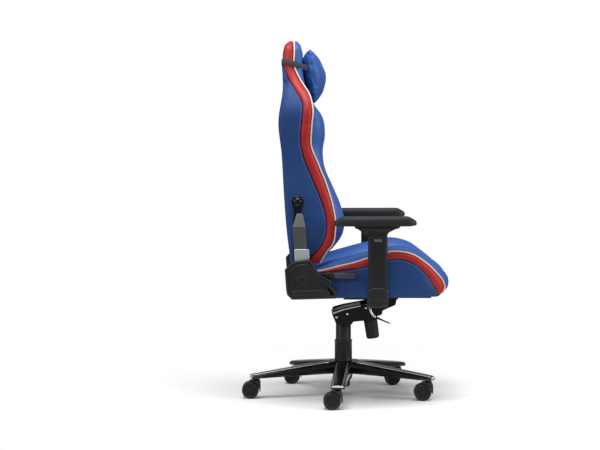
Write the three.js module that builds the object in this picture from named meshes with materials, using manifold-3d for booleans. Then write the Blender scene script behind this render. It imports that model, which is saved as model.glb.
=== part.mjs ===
// A racing-style gaming chair: five-arm caster base, gas lift, tilt mechanism, bucket seat with
// side bolsters, reclining winged backrest on steel side brackets, strapped head pillow and two
// height, turn and slide adjustable armrests.
//
// Units are millimetres, +Z is up, the chair faces +X and its left-hand side is +Y.
// Inside the assembly the gas lift's axis is at X = 0, Y = 0; the last lines move the whole chair so
// that its bounding box is centred over the origin.

import * as THREE from 'three';
import { mergeVertices } from 'three/addons/utils/BufferGeometryUtils.js';
import Module from 'manifold-3d';

const wasm = await Module();
wasm.setup();

// ---------------------------------------------------------------------------------------------
// Driving dimensions
// ---------------------------------------------------------------------------------------------

const gap = 0.3;                    // clearance between faces that touch
const runningFit = 0.4;             // radial clearance of a pin in its hole

// Casters
const wheelRadius = 30;
const wheelFacets = 24;
const wheelWidth = 15;              // each of the twin wheels
const yokeThickness = 15;           // the plate between the twin wheels
const casterTrail = 20;             // wheel axle behind the stem
const axleRadius = 4;
const stemRadius = 5.5;
const stemDepth = 11;               // how far a stem goes up into its arm
const hoodClearance = 5;            // from the top of the wheel to the top of the hood
const collarHeight = 6;

// Star base
const armCount = 5;
const firstArmAngle = -94.9;        // degrees from +X
const starReach = 340;              // column axis to an arm's tip
const stemInset = 19;               // stem axis inboard of the tip
const armTipHeight = 14;            // depth of an arm's section at its tip
const armRise = 41;                 // tip's top to hub's top
const armRootHeight = 40;
const armTipHalfWidth = 19;
const armRootHalfWidth = 27;
const hubRadius = 32;
const hubLength = 68;

// Gas lift
const gasTubeRadius = 24.5;
const gasRodRadius = 14;
const gasTubeBelowHub = 26;
const coverWall = 2;
const columnExposed = 136;          // hub's top to the mechanism's underside at the lowest setting
const lowerCoverLength = 74;
const liftStroke = 70;

// Mechanism
const mechanismHeight = 262;        // nominal height of its underside above the floor
const housingHalfWidth = 70;
const housingWall = 5;
const tiltPivot = [150, 334];       // X, Z
const pivotPinRadius = 6;
const knobRadius = 24;
const knobLength = 70;
const knobTilt = 8;                 // degrees, its lower end leans forward
const knobTop = [97, 274];          // X, Z
const boltRadius = 6;
const leverPivot = [80, 330];       // X, Z
const leverRadius = 4;

// Seat
const plateHalfWidth = 100;
const plateTop = 360;
const plateThickness = 6;
const frameHeight = 16;             // steel tube section under the pan
const seatHalfWidth = 262;
const seatCentreHalfWidth = 140;
const panThickness = 14;
const seatRear = -118;

// Backrest
const waistClearance = 12;          // the backrest's waist is narrower than the seat by this, each side
const headHalfWidth = 158;
const backCentreHalfWidth = 138;
const backBottom = 494;
const backHeight = 764;
const panelThickness = 4;
const frameStripDepth = 20;

// Recliner
const reclinePivot = [-149, 439];   // X, Z
const reclineBossRadius = 14;
const bracketThickness = 8;
const bracketClearance = 4;         // from the backrest's side to the bracket
const capHeight = 707;
const coverSkin = 11;
const coverNoseX = -33;             // front end of the recliner's cover
const shaftRadius = 5;

// Armrests
const armX = 108;
const armClearance = 34;            // from the seat's side to the armrest's sleeve
const postLength = 46;
const postWidth = 18;
const sleeveWall = [10, 8];         // along X, along Y
const sleeveFit = 1;
const sleeveBottom = 416;
const sleeveTop = 595;
const padLength = 278;
const padWidth = 94;
const padThickness = 31;
const padRearX = -40;

// Widths that follow: the backrest, the armrests and the lift lever keep their place beside the seat.
const backHalfWidth = seatHalfWidth - waistClearance;
const sleeveLength = postLength + 2 * sleeveWall[0];
const sleeveWidth = postWidth + 2 * sleeveWall[1];
const armY = seatHalfWidth + armClearance + sleeveWidth / 2;
const leverReach = armY - 71;

// ---------------------------------------------------------------------------------------------
// Geometry helpers
// ---------------------------------------------------------------------------------------------

const degrees = THREE.MathUtils.degToRad;

function toSolid(geometry) {
  const bare = geometry.clone();
  bare.deleteAttribute('normal');
  bare.deleteAttribute('uv');
  const merged = mergeVertices(bare, 1e-3);
  return new wasm.Manifold(new wasm.Mesh({
    numProp: 3,
    vertProperties: new Float32Array(merged.attributes.position.array),
    triVerts: new Uint32Array(merged.index.array),
  }));
}

function toGeometry(solid) {
  const mesh = solid.getMesh();
  const geometry = new THREE.BufferGeometry();
  geometry.setAttribute('position', new THREE.BufferAttribute(mesh.vertProperties, 3));
  geometry.setIndex(new THREE.BufferAttribute(mesh.triVerts, 1));
  return geometry;
}

function cut(body, ...tools) {
  return toGeometry(tools.reduce((solid, tool) => solid.subtract(toSolid(tool)), toSolid(body)));
}

function join(body, ...others) {
  return toGeometry(others.reduce((solid, other) => solid.add(toSolid(other)), toSolid(body)));
}

function common(body, ...others) {
  return toGeometry(others.reduce((solid, other) => solid.intersect(toSolid(other)), toSolid(body)));
}

const outline = (points) => new THREE.Shape(points.map(([a, b]) => new THREE.Vector2(a, b)));

// A plate whose outline lies in the XZ plane and whose thickness runs along Y.
function plateXZ(points, yLow, yHigh) {
  const plate = new THREE.ExtrudeGeometry(outline(points), { depth: yHigh - yLow, bevelEnabled: false });
  return plate.rotateX(Math.PI / 2).translate(0, yHigh, 0);
}

function plateXY(points, zLow, zHigh) {
  const plate = new THREE.ExtrudeGeometry(outline(points), { depth: zHigh - zLow, bevelEnabled: false });
  return plate.translate(0, 0, zLow);
}

function plateYZ(points, xLow, xHigh) {
  const plate = new THREE.ExtrudeGeometry(outline(points), { depth: xHigh - xLow, bevelEnabled: false });
  const axes = new THREE.Matrix4().makeBasis(
    new THREE.Vector3(0, 1, 0), new THREE.Vector3(0, 0, 1), new THREE.Vector3(1, 0, 0));
  return plate.applyMatrix4(axes).translate(xLow, 0, 0);
}

function box(x, y, z) {
  const block = new THREE.BoxGeometry(x[1] - x[0], y[1] - y[0], z[1] - z[0]);
  return block.translate((x[0] + x[1]) / 2, (y[0] + y[1]) / 2, (z[0] + z[1]) / 2);
}

// Cylinders along Y or Z between two coordinates.
function rodY(radius, x, z, y, facets = 20) {
  return new THREE.CylinderGeometry(radius, radius, y[1] - y[0], facets)
    .translate(x, (y[0] + y[1]) / 2, z);
}

function rodZ(radius, x, y, z, facets = 20) {
  return new THREE.CylinderGeometry(radius, radius, z[1] - z[0], facets)
    .rotateX(Math.PI / 2).translate(x, y, (z[0] + z[1]) / 2);
}

// A turned piece about the Z axis from [radius, z] points.
function turned(profile, facets = 32) {
  const points = profile.map(([r, z]) => new THREE.Vector2(r, z));
  return new THREE.LatheGeometry(points, facets).rotateX(Math.PI / 2);
}

// A ring-shaped sleeve about the Z axis.
function sleeve(innerRadius, outerRadius, zLow, zHigh, facets = 32) {
  return turned([[innerRadius, zLow], [outerRadius, zLow], [outerRadius, zHigh], [innerRadius, zHigh],
    [innerRadius, zLow]], facets);
}

// A solid through rings of points; flat() lays an end ring out in its own plane to close it.
function loft(rings, flat) {
  const count = rings[0].length;
  const index = [];
  const quad = (a, b, c, d) => index.push(a, b, c, a, c, d);
  for (let ring = 0; ring + 1 < rings.length; ring++) {
    for (let i = 0; i < count; i++) {
      const here = ring * count + i;
      const next = ring * count + (i + 1) % count;
      quad(here, next, next + count, here + count);
    }
  }
  const close = (ring, start, reversed) => {
    const contour = ring.map((point) => new THREE.Vector2(...flat(point)));
    const forward = THREE.ShapeUtils.area(contour) > 0;
    for (const [a, b, c] of THREE.ShapeUtils.triangulateShape(contour, [])) {
      const turn = THREE.ShapeUtils.area([contour[a], contour[b], contour[c]]) > 0;
      const corner = (turn === forward) !== reversed ? [a, b, c] : [c, b, a];
      index.push(...corner.map((i) => i + start));
    }
  };
  close(rings[0], 0, true);
  close(rings[rings.length - 1], (rings.length - 1) * count, false);
  const geometry = new THREE.BufferGeometry();
  geometry.setAttribute('position', new THREE.Float32BufferAttribute(rings.flat(2), 3));
  geometry.setIndex(signedVolume(rings.flat(1), index) > 0 ? index : index.reverse());
  return geometry;
}

function signedVolume(points, index) {
  let total = 0;
  for (let i = 0; i < index.length; i += 3) {
    const [a, b, c] = [0, 1, 2].map((k) => new THREE.Vector3(...points[index[i + k]]));
    total += a.dot(b.cross(c));
  }
  return total;
}

// A smooth function through [at, value] points, in order of at.
function curveThrough(points) {
  const slope = (i) => {
    const [before, after] = [points[Math.max(i - 1, 0)], points[Math.min(i + 1, points.length - 1)]];
    return (after[1] - before[1]) / (after[0] - before[0]);
  };
  return (at) => {
    let i = 0;
    while (i < points.length - 2 && at > points[i + 1][0]) i++;
    const span = points[i + 1][0] - points[i][0];
    const t = THREE.MathUtils.clamp((at - points[i][0]) / span, 0, 1);
    return points[i][1] * (1 + 2 * t) * (1 - t) ** 2 + slope(i) * span * t * (1 - t) ** 2
      + points[i + 1][1] * (3 - 2 * t) * t ** 2 + slope(i + 1) * span * (t - 1) * t ** 2;
  };
}

// Points along a smooth open line through the given ones.
function smoothLine(points, count) {
  const line = new THREE.SplineCurve(points.map(([a, b]) => new THREE.Vector2(a, b)));
  return line.getSpacedPoints(count).map((point) => [point.x, point.y]);
}

// A disc's rim as outline points, from one angle to another in degrees.
function arc(x, z, radius, from, to, steps = 10) {
  return Array.from({ length: steps + 1 }, (_, i) => {
    const angle = degrees(from + (to - from) * i / steps);
    return [x + radius * Math.cos(angle), z + radius * Math.sin(angle)];
  });
}

function steps(from, to, count) {
  return Array.from({ length: count + 1 }, (_, i) => from + (to - from) * i / count);
}

// The [low, high] span on one side of the chair of two distances from its middle plane.
const across = (side, near, far) => (side < 0 ? [-far, -near] : [near, far]);

// ---------------------------------------------------------------------------------------------
// Finishes
// ---------------------------------------------------------------------------------------------

const finishes = {
  blueLeather: [0x2b4fa3, 0.5, 0],
  blackPlastic: [0x1d1d20, 0.55, 0],
  greyPlastic: [0x55565a, 0.5, 0],
  softBlack: [0x232326, 0.7, 0],
  paintedSteel: [0x18181a, 0.45, 0.6],
  paintedAluminium: [0x1a1a1d, 0.3, 0.8],
  brightSteel: [0xc8c9cc, 0.25, 1],
  wheelNylon: [0x202024, 0.5, 0],
  elastic: [0x3c3d42, 0.85, 0],
};

function add(group, name, geometry, finish, place = [0, 0, 0]) {
  const [color, roughness, metalness] = finishes[finish];
  const mesh = new THREE.Mesh(geometry, new THREE.MeshStandardMaterial({ color, roughness, metalness }));
  mesh.name = name;
  mesh.position.set(...place);
  group.add(mesh);
}

const chair = new THREE.Group();
const base = new THREE.Group();
const upper = new THREE.Group();
chair.add(base, upper);

// ---------------------------------------------------------------------------------------------
// Star base: a turned hub with five tapering cast arms, each with a blind hole for a caster's stem
// ---------------------------------------------------------------------------------------------

const hoodTop = 2 * wheelRadius + hoodClearance;
const armTipBottom = hoodTop + collarHeight;
const armTipTop = armTipBottom + armTipHeight;
const hubTop = armTipTop + armRise;
const hubBottom = hubTop - hubLength;
const stemCircle = starReach - stemInset;
const armAngles = Array.from({ length: armCount }, (_, i) => firstArmAngle + i * 360 / armCount);

function starArm(angle) {
  const section = (reach, share, halfWidth) => {
    const top = hubTop - armRise * share;
    const bottom = top - (armRootHeight + (armTipHeight - armRootHeight) * share);
    const shoulder = bottom + (top - bottom) * 0.45;
    return [[reach, -halfWidth, bottom], [reach, -halfWidth, shoulder], [reach, -halfWidth * 0.62, top],
      [reach, halfWidth * 0.62, top], [reach, halfWidth, shoulder], [reach, halfWidth, bottom]];
  };
  const halfWidthAt = (share) => armRootHalfWidth + (armTipHalfWidth - armRootHalfWidth) * share;
  const bluntTip = 9;
  const shareAt = (reach) => Math.max(0, (reach - hubRadius) / (starReach - hubRadius));
  const rings = [hubRadius - 8, starReach / 2, starReach - bluntTip, starReach].map((reach) => {
    const share = shareAt(reach);
    return section(reach, share, halfWidthAt(share) * (reach === starReach ? 0.62 : 1));
  });
  return loft(rings, ([, y, z]) => [y, z]).rotateZ(degrees(angle));
}

function onStemCircle(angle) {
  return [stemCircle * Math.cos(degrees(angle)), stemCircle * Math.sin(degrees(angle))];
}

function starBase() {
  const hub = turned([[0, hubBottom], [hubRadius - 4, hubBottom], [hubRadius, hubBottom + 20],
    [hubRadius, hubTop], [0, hubTop]], 40);
  const bore = rodZ(gasTubeRadius + gap, 0, 0, [hubBottom - 5, hubTop + 5], 40);
  const stemHoles = armAngles.map((angle) => rodZ(stemRadius + runningFit, ...onStemCircle(angle),
    [armTipBottom - 5, armTipBottom + stemDepth + 1], 16));
  return cut(join(hub, ...armAngles.map(starArm)), bore, ...stemHoles);
}

add(base, 'star_base', starBase(), 'paintedAluminium');

// ---------------------------------------------------------------------------------------------
// Casters: a hooded yoke that swivels on its stem, and twin wheels on one axle that trail behind it
// ---------------------------------------------------------------------------------------------

const wheelInner = yokeThickness / 2 + 1.5;
const wheelOuter = wheelInner + wheelWidth;
const wheelRim = wheelRadius / Math.cos(Math.PI / wheelFacets);

function casterYoke() {
  const axle = -casterTrail;
  const nose = axle + wheelRadius + 6;
  const hood = plateXZ([[-18, hoodTop], [-22, hoodTop - 6], [-22, wheelRadius + 10],
    [nose - 16, 0.4 * wheelRadius], [nose - 8, 0.6 * wheelRadius], [nose, 0.93 * wheelRadius],
    [nose, hoodTop - 3], [nose - 3, hoodTop]], -wheelOuter - 1, wheelOuter + 1);
  const web = plateXZ([[-18, hoodTop - 2], [axle - 9, wheelRadius + 5], [axle - 9, wheelRadius - 5],
    [axle - 4, wheelRadius - 9], [0, wheelRadius - 12], [10, wheelRadius], [10, hoodTop - 2]],
  -yokeThickness / 2, yokeThickness / 2);
  const wheelRoom = rodY(wheelRim + 1.5, axle, wheelRadius, [-wheelOuter - 5, wheelOuter + 5], 24);
  const axleHole = rodY(axleRadius + runningFit, axle, wheelRadius, [-yokeThickness, yokeThickness], 12);
  const stem = turned([[0, hoodTop - 3], [12, hoodTop - 3], [9, hoodTop + collarHeight - gap],
    [stemRadius, hoodTop + collarHeight - gap], [stemRadius, armTipBottom + stemDepth],
    [0, armTipBottom + stemDepth]], 16);
  return cut(join(cut(hood, wheelRoom), web, stem), axleHole);
}

// The twin wheels stand on a flat of their rim.
function casterWheels() {
  const profile = [[0, -wheelOuter], [wheelRim - 8, -wheelOuter], [wheelRim, -wheelOuter + 3],
    [wheelRim, -wheelInner - 1], [wheelRim - 1, -wheelInner], [axleRadius, -wheelInner],
    [axleRadius, wheelInner], [wheelRim - 1, wheelInner], [wheelRim, wheelInner + 1],
    [wheelRim, wheelOuter - 3], [wheelRim - 8, wheelOuter], [0, wheelOuter]];
  return turned(profile, wheelFacets).rotateX(-Math.PI / 2)
    .rotateY(Math.PI / wheelFacets).translate(-casterTrail, 0, wheelRadius);
}

armAngles.forEach((angle, i) => {
  const place = [...onStemCircle(angle), 0];
  add(base, `caster_yoke_${i + 1}`, casterYoke(), 'blackPlastic', place);
  add(base, `caster_wheels_${i + 1}`, casterWheels(), 'wheelNylon', place);
});

// ---------------------------------------------------------------------------------------------
// Gas lift: outer tube in the hub, a rod that slides in it, and two covers that telescope
// ---------------------------------------------------------------------------------------------

const mechanismUnderside = hubTop + columnExposed;
const gasTubeTop = hubTop + liftStroke;
const gasTubeBottom = hubBottom - gasTubeBelowHub;
const upperCoverInner = gasTubeRadius + 0.8;
const upperCoverOuter = upperCoverInner + coverWall;
const lowerCoverInner = upperCoverOuter + 0.9;
const lowerCoverOuter = lowerCoverInner + coverWall * 2;
const boreFloor = gasTubeBottom + 26;

add(base, 'gas_cylinder_tube', turned([[0, gasTubeBottom], [gasTubeRadius - 4, gasTubeBottom],
  [gasTubeRadius, gasTubeBottom + 6], [gasTubeRadius, gasTubeTop],
  [gasRodRadius + runningFit, gasTubeTop], [gasRodRadius + runningFit, boreFloor], [0, boreFloor]], 32),
'paintedSteel');
add(base, 'column_cover_lower',
  sleeve(lowerCoverInner, lowerCoverOuter, hubTop + gap, hubTop + lowerCoverLength), 'blackPlastic');
add(base, 'gas_piston_rod', rodZ(gasRodRadius, 0, 0, [boreFloor + 6, mechanismUnderside + 24], 32),
  'brightSteel');

function upperCover() {
  const top = mechanismUnderside - gap;
  return turned([[upperCoverInner, hubTop + 3], [upperCoverOuter, hubTop + 3], [upperCoverOuter, top],
    [gasRodRadius + gap, top], [gasRodRadius + gap, top - coverWall], [upperCoverInner, top - coverWall],
    [upperCoverInner, hubTop + 3]]);
}

add(base, 'column_cover_upper', upperCover(), 'blackPlastic');

// Everything from the mechanism up is drawn at its nominal height and carried by the lift.
upper.position.z = mechanismUnderside - mechanismHeight;

// ---------------------------------------------------------------------------------------------
// Tilt mechanism: an open steel housing with the column's socket, the tilt pin at its front, the
// tension spring with its bolt and knob, and the lift lever
// ---------------------------------------------------------------------------------------------

function housing() {
  const low = mechanismHeight;
  const shell = plateXZ([[-27, low], [27, low], [34, low + 10], [64, low + 13], [112, low + 14],
    [118, low + 30], [134, low + 35], [138, low + 50], [183, low + 70], [187, low + 88],
    [150, low + 88], [0, low + 60], [-36, low + 50], [-42, low + 36]], -housingHalfWidth, housingHalfWidth);
  const pocket = plateXZ([[-22, low + 8], [26, low + 8], [33, low + 17], [110, low + 20],
    [114, low + 36], [130, low + 41], [134, low + 56], [176, low + 75], [181, low + 110],
    [-32, low + 110], [-36, low + 38]], -housingHalfWidth + housingWall, housingHalfWidth - housingWall);
  const socket = rodZ(gasRodRadius + 10, 0, 0, [low, low + 28], 24);
  const bore = rodZ(gasRodRadius + runningFit, 0, 0, [low - 5, low + 40], 32);
  const pinHole = rodY(pivotPinRadius + runningFit, ...tiltPivot, [-200, 200], 16);
  const leverHole = rodY(leverRadius + 1, ...leverPivot, [-200, 0], 12);
  const boltHole = alongKnobAxis(rodZ(boltRadius + 2, 0, 0, [-5, 30], 16));
  return cut(join(cut(shell, pocket), socket), bore, pinHole, leverHole, boltHole);
}

// The knob's axis starts at its top and leans so that its lower end is further forward.
function alongKnobAxis(geometry) {
  return geometry.rotateY(-degrees(knobTilt)).translate(knobTop[0], 0, knobTop[1]);
}

// The knob is moulded onto the bolt that squeezes the tension spring.
function tensionKnob() {
  return alongKnobAxis(turned([[0, -knobLength], [knobRadius - 6, -knobLength],
    [knobRadius, -knobLength + 6], [knobRadius + 1, -8], [knobRadius - 2, -2], [boltRadius, -2],
    [boltRadius, 52], [0, 52]], 24));
}

function coilSpring(radius, wire, turns, zLow, zHigh) {
  const perTurn = 12;
  const points = steps(0, turns, turns * perTurn).map((turn) => new THREE.Vector3(
    radius * Math.cos(turn * 2 * Math.PI), radius * Math.sin(turn * 2 * Math.PI),
    zLow + (zHigh - zLow) * turn / turns));
  const wireSection = outline(arc(0, 0, wire, 0, 300, 5));
  return new THREE.ExtrudeGeometry(wireSection, {
    steps: turns * perTurn,
    bevelEnabled: false,
    extrudePath: new THREE.CatmullRomCurve3(points),
  });
}

add(upper, 'mechanism_housing', housing(), 'paintedSteel');
add(upper, 'tilt_pivot_pin', rodY(pivotPinRadius, ...tiltPivot, [-84, 84], 16), 'brightSteel');
add(upper, 'tension_knob', tensionKnob(), 'softBlack');
add(upper, 'tilt_spring', alongKnobAxis(coilSpring(13, 3, 4, 15, 45)), 'brightSteel');

// The lift lever: a bent steel rod along the seat's right-hand side with a flat paddle.
const leverEnd = [104, 307];

function liftLeverRod() {
  const [x, z] = leverPivot;
  const route = new THREE.CatmullRomCurve3([[x, -58, z], [x, -120, z], [x + 1, -leverReach + 16, z + 22],
    [x + 4, -leverReach + 2, z + 14], [x + 12, -leverReach, z - 10], [leverEnd[0], -leverReach, leverEnd[1]],
  ].map((point) => new THREE.Vector3(...point)), false, 'catmullrom', 0.35);
  const section = outline(arc(0, 0, leverRadius, 0, 315, 7));
  return new THREE.ExtrudeGeometry(section, { steps: 28, bevelEnabled: false, extrudePath: route });
}

function liftLeverPaddle() {
  const [x, z] = leverEnd;
  return plateXZ([[x + 4, z - 9], [x + 4, z + 4], [x + 12, z + 3], [x + 49, z - 14], [x + 52, z - 18],
    [x + 48, z - 21], [x + 12, z - 8]], -leverReach - 11, -leverReach + 11);
}

add(upper, 'lift_lever_rod', liftLeverRod(), 'brightSteel');
add(upper, 'lift_lever_paddle', liftLeverPaddle(), 'blackPlastic');

// ---------------------------------------------------------------------------------------------
// Seat: steel plate on the tilt pin, tube frame, pan, cushion and two raised side bolsters
// ---------------------------------------------------------------------------------------------

const frameTop = plateTop + gap + frameHeight;
const panTop = frameTop + gap + panThickness;
const bracketInner = backHalfWidth + bracketClearance;
const reclinerPlateOuter = bracketInner - 1.5;
const reclinerPlateInner = reclinerPlateOuter - 6;

function seatPlate() {
  const sheet = box([-1, 190], [-plateHalfWidth, plateHalfWidth], [plateTop - plateThickness, plateTop]);
  const [x, z] = tiltPivot;
  const ear = [[x - 26, plateTop - 2], [x - 12, z - 8], ...arc(x, z, 12, 200, 340, 6), [x + 14, z],
    [x + 26, plateTop - 2]];
  const ears = [-1, 1].map((side) => plateXZ(ear,
    ...across(side, housingHalfWidth + 3, housingHalfWidth + 3 + plateThickness)));
  const pinHole = rodY(pivotPinRadius + runningFit, x, z, [-200, 200], 16);
  return cut(join(sheet, ...ears), pinHole);
}

function seatFrame() {
  const height = [plateTop + gap, frameTop];
  const rails = [-1, 1].map((side) => box([seatRear, 300], across(side, 150, 174), height));
  const rearTube = box([seatRear, seatRear + 22], [-reclinerPlateInner + gap, reclinerPlateInner - gap],
    height);
  const frontTube = box([278, 300], [-174, 174], height);
  const middleTube = box([100, 136], [-leverReach + 27, leverReach - 27], height);
  return join(rearTube, frontTube, middleTube, ...rails);
}

// Half-width of the seat seen from above, against X.
const seatPlan = curveThrough([[-130, 0.95], [0, 1], [200, 1], [280, 0.95], [330, 0.86], [366, 0.74]]);

function seatPlanOutline(inset = 0) {
  const stations = steps(seatRear, 366, 16);
  const half = (x) => seatPlan(x) * seatHalfWidth - inset;
  return [...stations.map((x) => [x, -half(x)]), ...stations.reverse().map((x) => [x, half(x)])];
}

// Side views of the upholstery: the top line from the rear to the nose and down to the front edge.
const underside = panTop + gap;
const seatTopLines = {
  centre: [[seatRear, 470], [0, 480], [110, 493], [200, 503], [270, 499], [318, 480], [346, 453],
    [356, 426], [350, 404], [338, underside]],
  crest: [[-75, 492], [0, 512], [100, 537], [182, 551], [240, 539], [295, 503], [335, 468],
    [358, 436], [356, 408], [340, underside]],
  side: [[-75, 464], [0, 488], [90, 516], [175, 535], [228, 525], [276, 495], [314, 460],
    [339, 428], [345, 405], [334, underside]],
};

function seatSection(line, y) {
  const points = [...smoothLine(line, 20), [line[0][0], underside]];
  return points.map(([x, z]) => [x, y, z]);
}

function seatBolster(side) {
  const split = seatCentreHalfWidth + gap;
  const { crest, side: piping } = seatTopLines;
  const low = crest.map(([x, z]) => [x, Math.max(underside, z - 30)]);
  const rings = [[low, 0], [crest, 0.39], [crest, 0.67], [piping, 1]]
    .map(([line, share]) => seatSection(line, side * (split + share * (seatHalfWidth - split))));
  const block = loft(rings, ([x, , z]) => [x, z]);
  return common(block, plateXY(seatPlanOutline(), underside - 1, 700));
}

function seatCushion() {
  const { centre } = seatTopLines;
  const rings = [-1, -0.6, 0.6, 1].map((share) => {
    const lift = Math.abs(share) === 1 ? 6 : 0;
    const line = centre.map(([x, z]) => [x, Math.max(underside, z - lift)]);
    return seatSection(line, share * seatCentreHalfWidth);
  });
  return loft(rings, ([x, , z]) => [x, z]);
}

// The pan follows the cushion's plan and is narrower at the rear, between the recliners.
function seatPan() {
  const sheet = plateXY(seatPlanOutline(6), frameTop + gap, frameTop + gap + panThickness);
  const reclinerRoom = [-1, 1].map((side) => box([seatRear - 20, coverNoseX + 2],
    across(side, reclinerPlateInner - gap, seatHalfWidth + 20), [frameTop - 5, panTop + 5]));
  const noseRoom = box([334, 400], [-300, 300], [frameTop - 5, panTop + 5]);
  return cut(sheet, ...reclinerRoom, noseRoom);
}

add(upper, 'seat_plate', seatPlate(), 'paintedSteel');
add(upper, 'seat_frame', seatFrame(), 'paintedSteel');
add(upper, 'seat_pan', seatPan(), 'softBlack');
add(upper, 'seat_cushion', seatCushion(), 'blueLeather');
add(upper, 'seat_bolster_right', seatBolster(-1), 'blueLeather');
add(upper, 'seat_bolster_left', seatBolster(1), 'blueLeather');

// ---------------------------------------------------------------------------------------------
// Recliner: on each side a fixed plate with the pivot boss, a plastic cover, and a cross shaft
// ---------------------------------------------------------------------------------------------

const [pivotX, pivotZ] = reclinePivot;
const coverInner = bracketInner + bracketThickness + 19;
const coverOuter = coverInner + coverSkin;
const handlePivot = [-95, 445];     // X, Z of the recline handle's pin

function reclinerPlate(side) {
  const [handleX, handleZ] = handlePivot;
  const seatLine = plateTop + gap;
  const profile = [[pivotX - 26, seatLine], [seatRear + 40, seatLine],
    ...arc(handleX, handleZ, 12, -30, 90, 5), ...arc(pivotX, pivotZ, 36, 60, 200, 9)];
  const plate = plateXZ(profile, ...across(side, reclinerPlateInner, reclinerPlateOuter));
  const boss = rodY(reclineBossRadius, pivotX, pivotZ,
    across(side, reclinerPlateOuter - 2, bracketInner + bracketThickness + 2), 24);
  const handlePin = rodY(5, handleX, handleZ,
    across(side, reclinerPlateOuter - 2, bracketInner + bracketThickness + 15), 12);
  const shaftHole = rodY(shaftRadius + runningFit, pivotX, pivotZ, [-400, 400], 16);
  return cut(join(plate, boss, handlePin), shaftHole);
}

function reclinerCover(side) {
  const low = 373;
  const curve = smoothLine([[-118, 506], [-104, 481], [-84, 458], [-48, 437]], 6);
  const skin = plateXZ([[-184, low], [coverNoseX, low + 4], [coverNoseX, 398], [-44, 414], [-52, 420],
    ...curve.reverse(), [-126, 511], [-184, 503], [-209, 475], [-204, 407], [-201, 390]],
  ...across(side, coverInner, coverOuter));
  const floorFlange = box([-182, -40], across(side, reclinerPlateOuter + gap, coverInner + 1),
    [low + 4, low + 11]);
  const rearFlange = box([-201, -194], across(side, bracketInner, coverInner + 1), [low + 18, 425]);
  return join(skin, floorFlange, rearFlange);
}

for (const [side, name] of [[-1, 'right'], [1, 'left']]) {
  add(upper, `recliner_plate_${name}`, reclinerPlate(side), 'paintedSteel');
  add(upper, `recliner_cover_${name}`, reclinerCover(side), 'blackPlastic');
}
add(upper, 'recline_shaft', rodY(shaftRadius, pivotX, pivotZ,
  [-reclinerPlateOuter - 6, reclinerPlateOuter + 6], 16), 'brightSteel');

// The recline handle, on the right only: a steel arm on the plate's pin and a moulded grip.
const handleInner = bracketInner + bracketThickness + 6;

function reclineLever() {
  const [x, z] = handlePivot;
  const arm = plateXZ([...arc(x, z, 12, 100, 250, 6), [x + 40, z - 3], [6, z + 5], [6, z + 15],
    [x + 30, z + 14]], ...across(-1, handleInner, handleInner + 5));
  return cut(arm, rodY(5 + runningFit, x, z, [-400, 400], 12));
}

function reclineGrip() {
  const z = handlePivot[1];
  const grip = plateXZ([[-70, z + 4], [-60, z], [33, z + 2], [36, z + 10], [33, z + 19], [-66, z + 19],
    [-71, z + 12]], ...across(-1, handleInner - 3, handleInner + 13));
  const slot = box([-80, 7], across(-1, handleInner - gap, handleInner + 5 + gap), [z - 20, z + 15 + gap]);
  return cut(grip, slot);
}

add(upper, 'recline_lever', reclineLever(), 'paintedSteel');
add(upper, 'recline_lever_grip', reclineGrip(), 'greyPlastic');

// ---------------------------------------------------------------------------------------------
// Backrest: a rear panel, centre cushion, two wings and head section on a pressed steel frame,
// carried by a steel bracket on each side that turns on the recliner's boss
// ---------------------------------------------------------------------------------------------

const backTop = backBottom + backHeight;
const upBack = (share) => backBottom + share * backHeight;
const byHeight = (points) => curveThrough(points.map(([share, x]) => [upBack(share), x]));

// Side-view lines of the backrest as X against height, given as a share of its height.
const rearLine = byHeight([[0, -189], [0.15, -203], [0.33, -213], [0.49, -220], [0.63, -231],
  [0.78, -216], [0.915, -217], [0.965, -212], [1, -194]]);
const crestLine = byHeight([[0, -100], [0.073, -41], [0.12, -15], [0.182, -5], [0.255, -17],
  [0.338, -43], [0.43, -73], [0.5, -80], [0.583, -73], [0.66, -83], [0.717, -115], [0.8, -140],
  [0.9, -150], [0.96, -150], [1, -162]]);
const pipingLine = byHeight([[0, -88], [0.045, -68], [0.09, -43], [0.14, -36], [0.19, -35],
  [0.25, -43], [0.345, -64], [0.444, -94], [0.529, -119], [0.6, -118], [0.7, -114], [0.757, -125],
  [0.823, -156], [0.886, -177], [0.958, -177], [1, -175]]);
const centreLine = byHeight([[0, -118], [0.086, -92], [0.19, -84], [0.3, -98], [0.4, -118],
  [0.53, -130], [0.66, -138], [0.8, -148], [0.9, -152], [1, -168]]);

// Half-width of the backrest seen from the front: the waist and shoulders, then the head.
const backFront = byHeight([
  ...[[0, 0.93], [0.09, 0.99], [0.2, 1], [0.33, 0.985], [0.44, 0.975], [0.53, 1.01], [0.62, 1.04],
    [0.7, 1.02], [0.76, 0.89]].map(([share, width]) => [share, width * backHalfWidth]),
  ...[[0.81, 1.16], [0.86, 1.05], [0.93, 1], [0.975, 0.89], [1, 0.68]]
    .map(([share, width]) => [share, width * headHalfWidth]),
]);
const headStart = upBack(0.783);    // where the head section is sewn on

// A foam block's section; its rear is trimmed afterwards to lie against the rear panel.
function backSection(front, y, heights, frontOffset = 0) {
  const frontSide = heights.map((z) => [front(z) - frontOffset, y, z]);
  const rearSide = [...heights].reverse().map((z) => [rearLine(z), y, z]);
  return [...frontSide, ...rearSide];
}

const panelHeights = steps(backBottom, backTop, 26);
const foamRear = panelThickness + gap;

function behindFoam() {
  const profile = [...panelHeights.map((z) => [rearLine(z) + foamRear, z]),
    ...[...panelHeights].reverse().map((z) => [rearLine(z) - 60, z])];
  return plateXZ(profile, -400, 400);
}

function backSilhouette(inset = 0) {
  const half = (z) => backFront(z) - inset;
  return plateYZ([...panelHeights.map((z) => [half(z), z]),
    ...[...panelHeights].reverse().map((z) => [-half(z), z])], -400, 100);
}

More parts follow.
